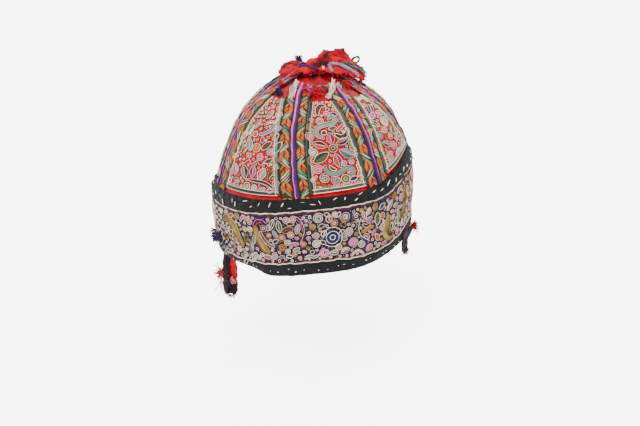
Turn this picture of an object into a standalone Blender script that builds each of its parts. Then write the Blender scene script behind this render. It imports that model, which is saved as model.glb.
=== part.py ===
"""Embroidered baby hat: seven gores of red cloth under embroidered panels and chevron braids, gathered at
the top into a ragged ruffle, on a deep embroidered band with black bindings and two short ties.

The hat keeps the form that it has on a head. +Z is up, -Y is the front, and +X is the wearer's left.
The origin is inside the top of the crown, where the top of the head meets it.
"""

import math
from collections import namedtuple

import bmesh
import bpy
from mathutils import Vector

MM = 0.001
WELD = 0.01 * MM

# Heights are measured up the hat from the floor of its section table.
SEAT_HEIGHT = 148.0 * MM
FRONT_TO_BACK = 1.04

# The layers of cloth, and the gap that each keeps to the next.
GAP = 0.4 * MM
BAND_WALL = 2.2 * MM
CROWN_WALL = 2.0 * MM
APPLIED_WALL = 1.0 * MM
BINDING_WALL = 1.0 * MM
BINDING_ROLL = 1.0 * MM
RUFFLE_WALL = 1.3 * MM
TIE_WALL = 1.4 * MM

# Where each piece starts and ends up the hat.
BAND_FOOT = 16.3 * MM
BAND_HEAD = 69.6 * MM
LOWER_BINDING_HEAD = 25.5 * MM
LOWER_BINDING_INSIDE = 7.0 * MM
UPPER_BINDING_FOOT = 67.6 * MM
UPPER_BINDING_HEAD = 76.4 * MM
GORE_FOOT = 71.2 * MM
GORE_HEAD = 145.5 * MM
TRIM_FOOT = 77.2 * MM
PANEL_FOOT = 79.8 * MM
PANEL_HEAD = 136.6 * MM

# What is sewn along each seam of the crown.
SEAM_GAP = 1.0 * MM
CORD_WIDTH = 3.0 * MM
SIDE_GAP = 0.4 * MM
BRAID_NARROWING = 0.75

# Faces round the hat, across each piece and up the crown, whose rows crowd together where it curves in.
ROUND_FACES = 48
GORE_FACES = 5
PANEL_FACES = 6
STRIP_FACES = 2
RUFFLE_FACES = 60
CROWN_ROWS = 8
CROWN_ARC = math.radians(75)

Section = namedtuple("Section", "height half_width shift tilt")
# One row for each level, in millimetres: half the width, the centre's shift to the wearer's left, and how
# far the level rises at the wearer's left and drops at the right, because the hat sits askew.
SECTIONS = [
    Section(15.0, 76.0, 1.0, 12.4),
    Section(25.5, 77.2, 0.0, 12.4),
    Section(46.0, 79.5, -1.0, 13.0),
    Section(66.8, 78.9, -2.0, 13.7),
    Section(78.0, 73.6, -2.2, 13.2),
    Section(88.0, 70.9, -1.7, 11.0),
    Section(99.0, 66.6, -1.1, 8.0),
    Section(110.0, 61.7, -0.2, 5.0),
    Section(120.0, 55.9, 0.6, 2.5),
    Section(129.0, 47.9, 1.4, 1.0),
    Section(137.0, 38.0, 1.0, 0.0),
    Section(144.0, 27.4, 1.0, 0.0),
    Section(149.0, 14.0, 0.5, 0.0),
]

Drape = namedtuple("Drape", "angle_deg hem binding seam crown")
# How far the cloth rides above those levels, round from the back, in millimetres: at the hem, at the lower
# binding's upper edge, and at the upper binding's lower and upper edges. It fades away up the crown.
DRAPES = [
    Drape(-180.0, 0.0, 0.0, 0.0, 0.0),
    Drape(-110.0, 2.5, 1.0, 0.0, 0.0),
    Drape(-75.0, 6.0, 1.4, 0.2, 0.3),
    Drape(-62.0, 6.3, 0.8, 0.5, 0.6),
    Drape(-50.0, 5.0, 0.5, 0.5, 0.5),
    Drape(-40.0, 0.5, -0.3, 1.0, 0.2),
    Drape(-30.0, 0.0, -0.3, 1.3, 0.0),
    Drape(-15.0, -0.1, -0.3, 1.3, -1.1),
    Drape(0.0, -1.6, -1.9, -0.7, -2.7),
    Drape(14.0, -3.4, -4.8, -2.9, -5.3),
    Drape(27.0, -3.3, -6.0, -5.3, -7.3),
    Drape(38.0, -2.0, -5.2, -4.4, -5.2),
    Drape(50.0, -1.0, -3.0, -0.4, -2.0),
    Drape(62.0, 0.0, -0.3, 0.8, 1.0),
    Drape(100.0, 0.0, 0.0, 0.0, 0.0),
    Drape(180.0, 0.0, 0.0, 0.0, 0.0),
]
DRAPE_END = 106.0 * MM

Seam = namedtuple("Seam", "foot_deg head_deg braid_before braid_after")
# One row for each seam of the crown, from the wearer's right round by the front: its angle from the front
# at the band and at the gather, and the widths in millimetres of its two braids at the band.
SEAMS = [
    Seam(-86.0, -86.0, 10.0, 12.0),
    Seam(-20.0, -33.0, 10.6, 8.5),
    Seam(32.0, 21.0, 9.5, 5.5),
    Seam(83.0, 62.0, 9.5, 9.0),
    Seam(131.0, 116.0, 9.5, 9.5),
    Seam(179.0, 169.0, 9.5, 9.5),
    Seam(226.0, 222.0, 10.0, 10.0),
]

Pleat = namedtuple("Pleat", "radius height depth")
# The gather from the gores' edge in to its drawn neck, in millimetres, with the depth of its pleats.
PLEATS = [
    Pleat(23.3, 146.2, 0.0),
    Pleat(18.0, 148.0, 0.7),
    Pleat(12.5, 149.4, 0.9),
    Pleat(8.6, 150.2, 0.6),
    Pleat(7.0, 151.6, 0.5),
]
PLEAT_COUNT = 10
GATHER_SHIFT = 1.0 * MM

Flap = namedtuple("Flap", "angle_deg reach height")
# The ruffle's raw edge, round from the back: how far it stands from the neck's axis, and its height.
# It is deepest at the wearer's left, stands up in a crest behind that, and is parted at the front.
FLAPS = [
    Flap(-180.0, 19.0, 152.5),
    Flap(-150.0, 17.0, 153.0),
    Flap(-128.0, 20.0, 154.5),
    Flap(-92.0, 28.5, 150.5),
    Flap(-48.0, 22.0, 151.5),
    Flap(-10.0, 11.0, 153.0),
    Flap(28.0, 21.0, 152.0),
    Flap(72.0, 39.0, 148.0),
    Flap(95.0, 31.0, 156.0),
    Flap(116.0, 27.0, 162.5),
    Flap(142.0, 20.5, 163.0),
    Flap(160.0, 21.0, 156.0),
    Flap(180.0, 19.0, 152.5),
]
RUFFLE_STEPS = 4
RUFFLE_ARCH = 0.18
CRUMPLE = 1.1 * MM
CRUMPLE_WAVES = (5, 11)

Tie = namedtuple("Tie", "name angle_deg facing_deg width length inside")
# The two straps at the hem. The right one hangs inside the hem and turns to face the front below it. The
# left one is shorter and lies outside the hem.
TIES = [
    Tie("tie_right", -84.0, -22.0, 11.0 * MM, 46.0 * MM, True),
    Tie("tie_left", 51.0, 51.0, 9.0 * MM, 16.0 * MM, False),
]
TIE_OVERLAP = 6.0 * MM
TIE_CURL = 1.2 * MM
TIE_ROWS = 8
TIE_SEAT_GAP = 0.7 * MM
TIE_TURN_START = 2.0 * MM
TIE_TURN_REACH = 12.0 * MM

CLOTH_ROUGHNESS = 0.85
RED_CLOTH = (0.62, 0.02, 0.035)
PANEL_RED = (0.55, 0.09, 0.09)
BRAID_ORANGE = (0.62, 0.36, 0.16)
CORD_PURPLE = (0.30, 0.08, 0.42)
BAND_PURPLE = (0.14, 0.06, 0.22)
BINDING_BLACK = (0.025, 0.032, 0.032)
TIE_BROWN = (0.06, 0.03, 0.03)


def clear_scene():
    for obj in list(bpy.data.objects):
        bpy.data.objects.remove(obj)


def cloth(name, colour):
    """A matt cloth material of one colour."""
    material = bpy.data.materials.new(name)
    material.use_nodes = True
    shader = material.node_tree.nodes["Principled BSDF"]
    shader.inputs["Base Color"].default_value = (*colour, 1.0)
    shader.inputs["Roughness"].default_value = CLOTH_ROUGHNESS
    shader.inputs["Metallic"].default_value = 0.0
    return material


def smooth_between(rows, place, key):
    """Reads a table of named tuples at place, along its column key, with a smooth curve through the rows."""
    places = [getattr(row, key) for row in rows]
    last = len(rows) - 1
    i = max(k for k in range(last) if k == 0 or places[k] <= place)
    start, end = rows[i], rows[i + 1]
    span = places[i + 1] - places[i]
    t = min(max((place - places[i]) / span, 0.0), 1.0)

    def slope(k, column):
        low, high = max(k - 1, 0), min(k + 1, last)
        return (getattr(rows[high], column) - getattr(rows[low], column)) / (places[high] - places[low])

    def read(column):
        a, b = getattr(start, column), getattr(end, column)
        rise_a, rise_b = slope(i, column) * span, slope(i + 1, column) * span
        return (
            a * (1 + 2 * t) * (1 - t) ** 2
            + rise_a * t * (1 - t) ** 2
            + b * t * t * (3 - 2 * t)
            + rise_b * t * t * (t - 1)
        )

    return type(start)(*(read(column) for column in start._fields))


def drape_at(angle, height):
    """How far the cloth rides above its level in the section table."""
    turned = (math.degrees(angle) + 180) % 360 - 180
    drape = smooth_between(DRAPES, turned, "angle_deg")
    marks = [BAND_FOOT, LOWER_BINDING_HEAD, UPPER_BINDING_FOOT, UPPER_BINDING_HEAD, DRAPE_END]
    rises = [drape.hem, drape.binding, drape.seam, drape.crown, 0.0]
    k = max(n for n in range(4) if n == 0 or marks[n] <= height)
    share = min(max((height - marks[k]) / (marks[k + 1] - marks[k]), 0.0), 1.0)
    return (rises[k] + (rises[k + 1] - rises[k]) * share) * MM


def cloth_point(angle, height):
    """A point of the hat's outer cloth, at an angle round from the front towards the wearer's left."""
    level = smooth_between(SECTIONS, height / MM, "height")
    x = level.half_width * math.sin(angle) + level.shift
    y = -level.half_width * FRONT_TO_BACK * math.cos(angle)
    rise = level.tilt * math.sin(angle) * MM + drape_at(angle, height)
    return Vector((x * MM, y * MM, height + rise - SEAT_HEIGHT))


def hat_point(angle, height, proud=0.0):
    """The same point, moved out from the cloth by proud."""
    here = cloth_point(angle, height)
    turn, rise = 0.01, 1.0 * MM
    along = cloth_point(angle + turn, height) - cloth_point(angle - turn, height)
    up = cloth_point(angle, height + rise) - cloth_point(angle, height - rise)
    return here + along.cross(up).normalized() * proud


def crown_levels(foot, head):
    """The crown's shared levels between two heights, with both ends, so that layers bend together."""
    reach = GORE_HEAD - TRIM_FOOT
    shares = [math.sin(CROWN_ARC * k / CROWN_ROWS) / math.sin(CROWN_ARC) for k in range(CROWN_ROWS + 1)]
    shared = [TRIM_FOOT + reach * share for share in shares]
    margin = 1.5 * MM
    inside = [level for level in shared if foot + margin < level < head - margin]
    return [foot, *inside, head]


def seam_share(height):
    return (height - TRIM_FOOT) / (GORE_HEAD - TRIM_FOOT)


def seam_angle(number, height):
    """The angle of a seam at a height. A number past the last seam counts on round the hat."""
    turns, index = divmod(number, len(SEAMS))
    seam = SEAMS[index]
    degrees = seam.foot_deg + (seam.head_deg - seam.foot_deg) * seam_share(height)
    return math.radians(degrees + 360 * turns)


def radius_at(height):
    return smooth_between(SECTIONS, height / MM, "height").half_width * MM


def braid_width(number, after, height):
    """The width of the braid before or after a seam, which narrows towards the gather."""
    seam = SEAMS[number % len(SEAMS)]
    at_foot = (seam.braid_after if after else seam.braid_before) * MM
    return at_foot * (1 - (1 - BRAID_NARROWING) * seam_share(height))


def add_cloth(name, columns, levels, place, wall, outward, material, collection):
    """A grid laid by place(across, level), given its wall by Solidify. Across runs from 0 to 1."""
    rows = len(levels) - 1
    grid = bmesh.new()
    bmesh.ops.create_grid(grid, x_segments=columns, y_segments=rows, size=0.5)
    for vertex in grid.verts:
        level = levels[round((vertex.co.y + 0.5) * rows)]
        vertex.co = place(vertex.co.x + 0.5, level)
    bmesh.ops.remove_doubles(grid, verts=grid.verts, dist=WELD)
    mesh = bpy.data.meshes.new(name)
    grid.to_mesh(mesh)
    grid.free()
    mesh.shade_smooth()
    mesh.materials.append(material)
    obj = bpy.data.objects.new(name, mesh)
    collection.objects.link(obj)
    solidify = obj.modifiers.new("wall", "SOLIDIFY")
    solidify.thickness = wall
    solidify.offset = 1.0 if outward else -1.0


def even_levels(foot, head, rows):
    return [foot + (head - foot) * k / rows for k in range(rows + 1)]


def add_band(collection):
    """The deep ring of satin that stands round the head."""
    material = cloth("band_purple", BAND_PURPLE)

    def place(around, height):
        return hat_point(around * math.tau, height)

    levels = [BAND_FOOT, *even_levels(LOWER_BINDING_HEAD, UPPER_BINDING_FOOT, 3), BAND_HEAD]
    add_cloth("band", ROUND_FACES, levels, place, BAND_WALL, False, material, collection)


def add_upper_binding(material, collection):
    """The black strip over the seam of band and crown. It is rolled, so it stands proud of both."""

    def place(around, height):
        share = (height - UPPER_BINDING_FOOT) / (UPPER_BINDING_HEAD - UPPER_BINDING_FOOT)
        return hat_point(around * math.tau, height, GAP + BINDING_ROLL * math.sin(math.pi * share))

    levels = even_levels(UPPER_BINDING_FOOT, UPPER_BINDING_HEAD, 4)
    add_cloth("upper_binding", ROUND_FACES, levels, place, BINDING_WALL, True, material, collection)


def add_lower_binding(material, collection):
    """The black strip folded round the hem, from inside the band to its outer face."""
    inner = -(BAND_WALL + GAP)
    fold = [
        (inner, BAND_FOOT + LOWER_BINDING_INSIDE),
        (inner, BAND_FOOT),
        (inner / 2, BAND_FOOT - 1.5 * GAP),
        (GAP, BAND_FOOT),
        (GAP, LOWER_BINDING_HEAD),
    ]

    def place(around, level):
        proud, height = level
        return hat_point(around * math.tau, height, proud)

    add_cloth("lower_binding", ROUND_FACES, fold, place, BINDING_WALL, True, material, collection)


def add_gore(number, material, collection):
    """One gore of the crown's ground cloth, between two seams."""

    def place(across, height):
        inset = SEAM_GAP / 2 / radius_at(height)
        low = seam_angle(number, height) + inset
        high = seam_angle(number + 1, height) - inset
        return hat_point(low + (high - low) * across, height)

    levels = crown_levels(GORE_FOOT, GORE_HEAD)
    add_cloth(f"crown_gore_{number + 1}", GORE_FACES, levels, place, CROWN_WALL, False, material, collection)


def add_panel(number, material, collection):
    """The embroidered panel on a gore, which tapers between two braids."""

    def place(across, height):
        trim = CORD_WIDTH / 2 + 2 * SIDE_GAP
        low_inset = (trim + braid_width(number, True, height)) / radius_at(height)
        high_inset = (trim + braid_width(number + 1, False, height)) / radius_at(height)
        low = seam_angle(number, height) + low_inset
        high = seam_angle(number + 1, height) - high_inset
        return hat_point(low + (high - low) * across, height, GAP)

    name = f"crown_panel_{number + 1}"
    levels = crown_levels(PANEL_FOOT, PANEL_HEAD)
    add_cloth(name, PANEL_FACES, levels, place, APPLIED_WALL, True, material, collection)


def add_seam_strip(name, number, edges, material, collection):
    """A strip along a seam. Edges gives its two distances from the seam at a height."""

    def place(across, height):
        low, high = edges(height)
        reach = low + (high - low) * across
        return hat_point(seam_angle(number, height) + reach / radius_at(height), height, GAP)

    levels = crown_levels(TRIM_FOOT, GORE_HEAD)
    add_cloth(name, STRIP_FACES, levels, place, APPLIED_WALL, True, material, collection)


def add_seam_trim(number, cord_material, braid_material, collection):
    """The cord that covers a seam, and the chevron braid on each side of it."""
    half_cord = CORD_WIDTH / 2
    near = half_cord + SIDE_GAP

    def cord_edges(height):
        return -half_cord, half_cord

    def before_edges(height):
        return -near - braid_width(number, False, height), -near

    def after_edges(height):
        return near, near + braid_width(number, True, height)

    add_seam_strip(f"seam_cord_{number + 1}", number, cord_edges, cord_material, collection)
    add_seam_strip(f"braid_{number + 1}_right", number, before_edges, braid_material, collection)
    add_seam_strip(f"braid_{number + 1}_left", number, after_edges, braid_material, collection)


def add_gather(material, collection):
    """The crown's top cloth: pleats drawn in to a neck, and above it a ruffle that falls open."""
    neck = PLEATS[-1]

    def pleated(angle, pleat):
        wave = pleat.depth * math.cos(PLEAT_COUNT * angle)
        return pleat.radius * MM, (pleat.height + wave) * MM

    def ruffled(angle, share):
        flap = smooth_between(FLAPS, math.degrees(angle), "angle_deg")
        fall = flap.reach - neck.radius
        wave = neck.depth * math.cos(PLEAT_COUNT * angle) * (1 - share)
        arch = RUFFLE_ARCH * fall * math.sin(math.pi * share)
        crumple = CRUMPLE * share * sum(math.sin(n * angle + n) for n in CRUMPLE_WAVES)
        height = neck.height + wave + (flap.height - neck.height) * share + arch
        return (neck.radius + fall * share) * MM, height * MM + crumple

    def place(around, level):
        kind, value = level
        angle = (around * 2 - 1) * math.pi
        radius, height = kind(angle, value)
        x = GATHER_SHIFT + radius * math.sin(angle)
        return Vector((x, -radius * math.cos(angle), height - SEAT_HEIGHT))

    levels = [(pleated, pleat) for pleat in PLEATS]
    levels += [(ruffled, (k + 1) / RUFFLE_STEPS) for k in range(RUFFLE_STEPS)]
    add_cloth("top_gather", RUFFLE_FACES, levels, place, RUFFLE_WALL, False, material, collection)


def add_tie(tie, material, collection):
    """A short strap that hangs plumb from the hem, with a slight curl along its length."""
    if tie.inside:
        proud = -(BAND_WALL + GAP + BINDING_WALL + TIE_SEAT_GAP)
    else:
        proud = GAP + BINDING_WALL + TIE_SEAT_GAP + TIE_WALL
    hem = hat_point(math.radians(tie.angle_deg), BAND_FOOT, proud)

    def place(across, drop):
        turned = min(max((-drop - TIE_TURN_START) / TIE_TURN_REACH, 0.0), 1.0)
        facing = math.radians(tie.angle_deg + (tie.facing_deg - tie.angle_deg) * turned)
        along = Vector((math.cos(facing), math.sin(facing), 0))
        out = Vector((math.sin(facing), -math.cos(facing), 0))
        curl = TIE_CURL * math.sin(math.pi * across) * (TIE_OVERLAP - drop) / tie.length
        return hem + along * tie.width * (across - 0.5) - out * curl + Vector((0, 0, drop))

    levels = even_levels(TIE_OVERLAP - tie.length, TIE_OVERLAP, TIE_ROWS)
    add_cloth(tie.name, STRIP_FACES, levels, place, TIE_WALL, False, material, collection)


def build_hat():
    clear_scene()
    collection = bpy.data.collections.new("embroidered_baby_hat")
    bpy.context.scene.collection.children.link(collection)
    add_band(collection)
    binding_black = cloth("binding_black", BINDING_BLACK)
    add_upper_binding(binding_black, collection)
    add_lower_binding(binding_black, collection)
    gore_red = cloth("gore_red", RED_CLOTH)
    panel_red = cloth("panel_red", PANEL_RED)
    cord_purple = cloth("cord_purple", CORD_PURPLE)
    braid_orange = cloth("braid_orange", BRAID_ORANGE)
    for number in range(len(SEAMS)):
        add_gore(number, gore_red, collection)
        add_panel(number, panel_red, collection)
        add_seam_trim(number, cord_purple, braid_orange, collection)
    add_gather(gore_red, collection)
    tie_brown = cloth("tie_brown", TIE_BROWN)
    for tie in TIES:
        add_tie(tie, tie_brown, collection)


build_hat()
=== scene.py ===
"""Looks of an embroidered baby hat: couched cords, satin stitch, chevron braids, black bindings and a ragged
gathered top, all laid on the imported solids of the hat.
"""

import math
from collections import namedtuple

import bmesh
import bpy
import numpy as np
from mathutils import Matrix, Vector
from mathutils.kdtree import KDTree


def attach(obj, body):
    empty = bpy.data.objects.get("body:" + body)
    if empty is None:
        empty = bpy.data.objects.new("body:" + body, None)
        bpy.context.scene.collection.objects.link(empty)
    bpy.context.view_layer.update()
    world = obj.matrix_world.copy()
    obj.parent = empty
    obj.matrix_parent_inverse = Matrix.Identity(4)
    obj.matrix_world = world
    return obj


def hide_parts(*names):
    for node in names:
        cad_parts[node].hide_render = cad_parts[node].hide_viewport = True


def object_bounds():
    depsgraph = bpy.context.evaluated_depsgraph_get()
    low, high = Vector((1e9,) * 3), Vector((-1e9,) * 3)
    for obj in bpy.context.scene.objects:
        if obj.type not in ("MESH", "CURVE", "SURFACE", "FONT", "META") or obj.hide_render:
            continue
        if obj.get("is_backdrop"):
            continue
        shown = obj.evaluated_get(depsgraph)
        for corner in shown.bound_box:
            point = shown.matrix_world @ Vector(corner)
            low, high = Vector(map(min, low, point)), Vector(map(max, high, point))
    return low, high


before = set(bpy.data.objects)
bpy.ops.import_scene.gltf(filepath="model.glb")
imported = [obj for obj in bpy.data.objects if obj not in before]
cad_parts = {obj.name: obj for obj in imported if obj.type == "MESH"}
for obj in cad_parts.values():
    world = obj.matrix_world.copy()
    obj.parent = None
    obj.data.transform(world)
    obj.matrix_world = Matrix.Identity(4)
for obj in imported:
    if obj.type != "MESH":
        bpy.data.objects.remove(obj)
cad_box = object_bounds()

# The picture. The hat is seen a little from its own right and from above, over a pale sweep, under one broad
# lamp and two weaker ones.
MM = 0.001
DYE_DEPTH = 3.1
VIEW_AZIMUTH = math.radians(-12)
VIEW_ELEVATION = math.radians(20)
CAMERA_REACH = 1.05
CAMERA_LENS = 73.8
AIM_HEIGHT = -76.0
AIM_RIGHT = 4.8
AIM_DOWN = 36.5
SWEEP_DROP = 45.0
SWEEP_REACH = 1400.0
SWEEP_BEND = 500.0
SWEEP_HEIGHT = 1500.0
SWEEP_STEPS = 8
SWEEP_GLOW = 2.7
PAPER_WHITE = (0.93, 0.93, 0.94, 1.0)
PAPER_LIGHT = (0.98, 0.98, 1.0, 1.0)
STUDIO_LIGHT = 0.78

Lamp = namedtuple("Lamp", "name azimuth elevation reach size watts")
LAMPS = [
    Lamp("key_lamp", -38, 48, 1.5, 1.0, 17.0),
    Lamp("fill_lamp", 62, 22, 1.6, 1.2, 6.0),
    Lamp("top_lamp", 150, 66, 1.4, 0.8, 7.0),
]


def dye(red, green, blue):
    """A colour given as the eye sees it, from 0 to 255, deepened for the values that shaders read."""
    return tuple(((value / 255 + 0.055) / 1.055) ** DYE_DEPTH for value in (red, green, blue)) + (1.0,)


def direction(azimuth, elevation):
    flat = math.cos(elevation)
    return Vector((math.sin(azimuth) * flat, -math.cos(azimuth) * flat, math.sin(elevation)))


def put(tree, kind, wires=None, **settings):
    """A node with its settings, and its inputs given as plain values or as sockets to join."""
    node = tree.nodes.new(kind)
    for name, value in settings.items():
        setattr(node, name, value)
    for name, value in (wires or {}).items():
        if isinstance(value, bpy.types.NodeSocket):
            tree.links.new(value, node.inputs[name])
        else:
            node.inputs[name].default_value = value
    return node


def reckon(tree, operation, *values):
    """The result of arithmetic in a shader, on plain values or sockets."""
    return put(tree, "ShaderNodeMath", dict(enumerate(values)), operation=operation).outputs[0]


def finish_material(name, roughness, **values):
    """A material and its tree, with the shader's plain values set."""
    material = bpy.data.materials.new(name)
    material.use_nodes = True
    tree = material.node_tree
    shader = tree.nodes["Principled BSDF"]
    shader.inputs["Roughness"].default_value = roughness
    for key, value in values.items():
        shader.inputs[key.replace("_", " ")].default_value = value
    return material, tree, shader


def new_piece(name, points, edges, faces, material=None):
    """A new object at the origin with its points in metres, smooth where it has its material already."""
    mesh = bpy.data.meshes.new(name)
    mesh.from_pydata(points, edges, faces)
    if material:
        mesh.materials.append(material)
        mesh.shade_smooth()
    piece = bpy.data.objects.new(name, mesh)
    bpy.context.scene.collection.objects.link(piece)
    return piece


def point_at_hat(thing, toward, reach):
    """Puts the camera or a lamp at a distance from the picture's middle and points it there."""
    thing.location = aim * MM + toward * reach
    thing.rotation_euler = (-toward).to_track_quat("-Z", "Y").to_euler()
    bpy.context.scene.collection.objects.link(thing)


view_back = direction(VIEW_AZIMUTH, VIEW_ELEVATION)
view_right = Vector((math.cos(VIEW_AZIMUTH), math.sin(VIEW_AZIMUTH), 0))
view_up = view_back.cross(view_right)
aim = Vector((0, 0, AIM_HEIGHT)) + view_right * AIM_RIGHT - view_up * AIM_DOWN
camera = bpy.data.objects.new("camera", bpy.data.cameras.new("camera"))
camera.data.lens = CAMERA_LENS
point_at_hat(camera, view_back, CAMERA_REACH)
bpy.context.scene.camera = camera
bpy.context.scene.view_settings.look = "AgX - Medium High Contrast"

for lamp in LAMPS:
    light = bpy.data.lights.new(lamp.name, "AREA")
    light.energy = lamp.watts
    light.size = lamp.size
    toward = direction(math.radians(lamp.azimuth), math.radians(lamp.elevation))
    point_at_hat(bpy.data.objects.new(lamp.name, light), toward, lamp.reach)

world = bpy.data.worlds.new("studio")
world.use_nodes = True
world.node_tree.nodes["Background"].inputs["Color"].default_value = (1.0, 1.0, 1.0, 1.0)
world.node_tree.nodes["Background"].inputs["Strength"].default_value = STUDIO_LIGHT
bpy.context.scene.world = world

sweep_foot = cad_box[0].z / MM - SWEEP_DROP
sweep_profile = [(-SWEEP_REACH, 0.0), (0.0, 0.0), (SWEEP_REACH - SWEEP_BEND, 0.0)]
for step in range(1, SWEEP_STEPS + 1):
    turn = math.pi / 2 * step / SWEEP_STEPS
    reach = SWEEP_REACH - SWEEP_BEND + SWEEP_BEND * math.sin(turn)
    sweep_profile.append((reach, SWEEP_BEND * (1 - math.cos(turn))))
sweep_profile.append((SWEEP_REACH, SWEEP_HEIGHT))
sweep_points = []
for y, z in sweep_profile:
    for x in (-2 * SWEEP_REACH, 2 * SWEEP_REACH):
        sweep_points.append((x * MM, y * MM, (z + sweep_foot) * MM))
sweep_faces = [(2 * k, 2 * k + 1, 2 * k + 3, 2 * k + 2) for k in range(len(sweep_profile) - 1)]
paper, paper_tree, paper_shader = finish_material("white_paper", 0.9)
paper_shader.inputs["Base Color"].default_value = PAPER_WHITE
paper_shader.inputs["Emission Color"].default_value = PAPER_LIGHT
seen = put(paper_tree, "ShaderNodeLightPath")
glow = reckon(paper_tree, "MULTIPLY", seen.outputs["Is Camera Ray"], SWEEP_GLOW)
paper_tree.links.new(glow, paper_shader.inputs["Emission Strength"])
new_piece("sweep", sweep_points, [], sweep_faces, paper)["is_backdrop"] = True

# The band. A deep ring of dark purple satin over padding, cut on a slant so that it sags at the front and
# rides up beside the ties. All the other pieces are laid on the same cloth form, which these tables give.
SEAT_HEIGHT = 148.0
FRONT_TO_BACK = 1.04
BAND_FOOT = 16.3
BAND_HEAD = 69.6
LOWER_BINDING_HEAD = 25.5
UPPER_BINDING_FOOT = 67.6
UPPER_BINDING_HEAD = 76.4
DRAPE_END = 106.0
BAND_WALL = 2.2
BAND_GIRTH = 79.0
BAND_CRUMPLE = 0.35
BAND_FOLD_SIZE = 9.0
BAND_FOLD_SEED = 4
BAND_ROWS = 30
COLUMNS_ROUND = 300

# Height, half width, shift to the wearer's left, and rise at the wearer's left.
SECTIONS = [
    (15.0, 76.0, 1.0, 12.4),
    (25.5, 77.2, 0.0, 12.4),
    (46.0, 79.5, -1.0, 13.0),
    (66.8, 78.9, -2.0, 13.7),
    (78.0, 73.6, -2.2, 13.2),
    (88.0, 70.9, -1.7, 11.0),
    (99.0, 66.6, -1.1, 8.0),
    (110.0, 61.7, -0.2, 5.0),
    (120.0, 55.9, 0.6, 2.5),
    (129.0, 47.9, 1.4, 1.0),
    (137.0, 38.0, 1.0, 0.0),
    (144.0, 27.4, 1.0, 0.0),
    (149.0, 14.0, 0.5, 0.0),
]
# Angle round from the front, and the cloth's rise at the hem, at the lower binding's upper edge, and at the
# upper binding's two edges.
DRAPES = [
    (-180.0, 0.0, 0.0, 0.0, 0.0),
    (-110.0, 2.5, 1.0, 0.0, 0.0),
    (-75.0, 6.0, 1.4, 0.2, 0.3),
    (-62.0, 6.3, 0.8, 0.5, 0.6),
    (-50.0, 5.0, 0.5, 0.5, 0.5),
    (-40.0, 0.5, -0.3, 1.0, 0.2),
    (-30.0, 0.0, -0.3, 1.3, 0.0),
    (-15.0, -0.1, -0.3, 1.3, -1.1),
    (0.0, -1.6, -1.9, -0.7, -2.7),
    (14.0, -3.4, -4.8, -2.9, -5.3),
    (27.0, -3.3, -6.0, -5.3, -7.3),
    (38.0, -2.0, -5.2, -4.4, -5.2),
    (50.0, -1.0, -3.0, -0.4, -2.0),
    (62.0, 0.0, -0.3, 0.8, 1.0),
    (100.0, 0.0, 0.0, 0.0, 0.0),
    (180.0, 0.0, 0.0, 0.0, 0.0),
]
DRAPE_MARKS = np.array([BAND_FOOT, LOWER_BINDING_HEAD, UPPER_BINDING_FOOT, UPPER_BINDING_HEAD, DRAPE_END])


def read_table(table, places):
    """Reads a table at places along its first column, with a smooth curve through its rows."""
    rows = np.asarray(table, float)
    marks = rows[:, 0]
    k = np.clip(np.searchsorted(marks, places, side="right") - 1, 0, len(rows) - 2)
    span = marks[k + 1] - marks[k]
    t = np.clip((places - marks[k]) / span, 0, 1)[..., None]
    before = np.maximum(k - 1, 0)
    after = np.minimum(k + 2, len(rows) - 1)
    rise_in = (rows[k + 1] - rows[before]) * (span / (marks[k + 1] - marks[before]))[..., None]
    rise_out = (rows[after] - rows[k]) * (span / (marks[after] - marks[k]))[..., None]
    lower = rows[k] * (1 + 2 * t) * (1 - t) ** 2 + rise_in * t * (1 - t) ** 2
    return lower + rows[k + 1] * t * t * (3 - 2 * t) + rise_out * t * t * (t - 1)


def drape_rise(angle, height):
    """How far the cloth rides above its level in the section table."""
    turned = (np.degrees(angle) + 180) % 360 - 180
    rises = read_table(DRAPES, turned)
    rises = np.concatenate([rises[..., 1:], np.zeros(rises.shape[:-1] + (1,))], -1)
    level = np.clip(height, DRAPE_MARKS[0], DRAPE_MARKS[-1])
    k = np.clip(np.searchsorted(DRAPE_MARKS, level, side="right") - 1, 0, len(DRAPE_MARKS) - 2)
    share = (level - DRAPE_MARKS[k]) / (DRAPE_MARKS[k + 1] - DRAPE_MARKS[k])
    low = np.take_along_axis(rises, k[..., None], -1)[..., 0]
    high = np.take_along_axis(rises, k[..., None] + 1, -1)[..., 0]
    return low + (high - low) * share


def joined(*parts):
    """Points from their separate values, on one last axis."""
    return np.stack(np.broadcast_arrays(*parts), -1)


def cloth_place(angle, height):
    level = read_table(SECTIONS, height)
    x = level[..., 1] * np.sin(angle) + level[..., 2]
    y = -level[..., 1] * FRONT_TO_BACK * np.cos(angle)
    z = height + level[..., 3] * np.sin(angle) + drape_rise(angle, height) - SEAT_HEIGHT
    return joined(x, y, z) * MM


def on_hat(angle, height, proud=0.0):
    """Points of the hat's outer cloth at angles round from the front and heights, moved out by proud."""
    angle, height, proud = np.broadcast_arrays(
        np.asarray(angle, float), np.asarray(height, float), np.asarray(proud, float)
    )
    turn, rise = 0.01, 1.0
    along = cloth_place(angle + turn, height) - cloth_place(angle - turn, height)
    up = cloth_place(angle, height + rise) - cloth_place(angle, height - rise)
    out = np.cross(along, up)
    out /= np.linalg.norm(out, axis=-1, keepdims=True)
    return cloth_place(angle, height) + out * proud[..., None] * MM


def run_along(points, unit=1.0):
    """How far along a run each of its points is, from 0 at the first."""
    return np.concatenate([[0.0], np.cumsum(np.linalg.norm(np.diff(points, axis=0), axis=1) / unit)])


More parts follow.
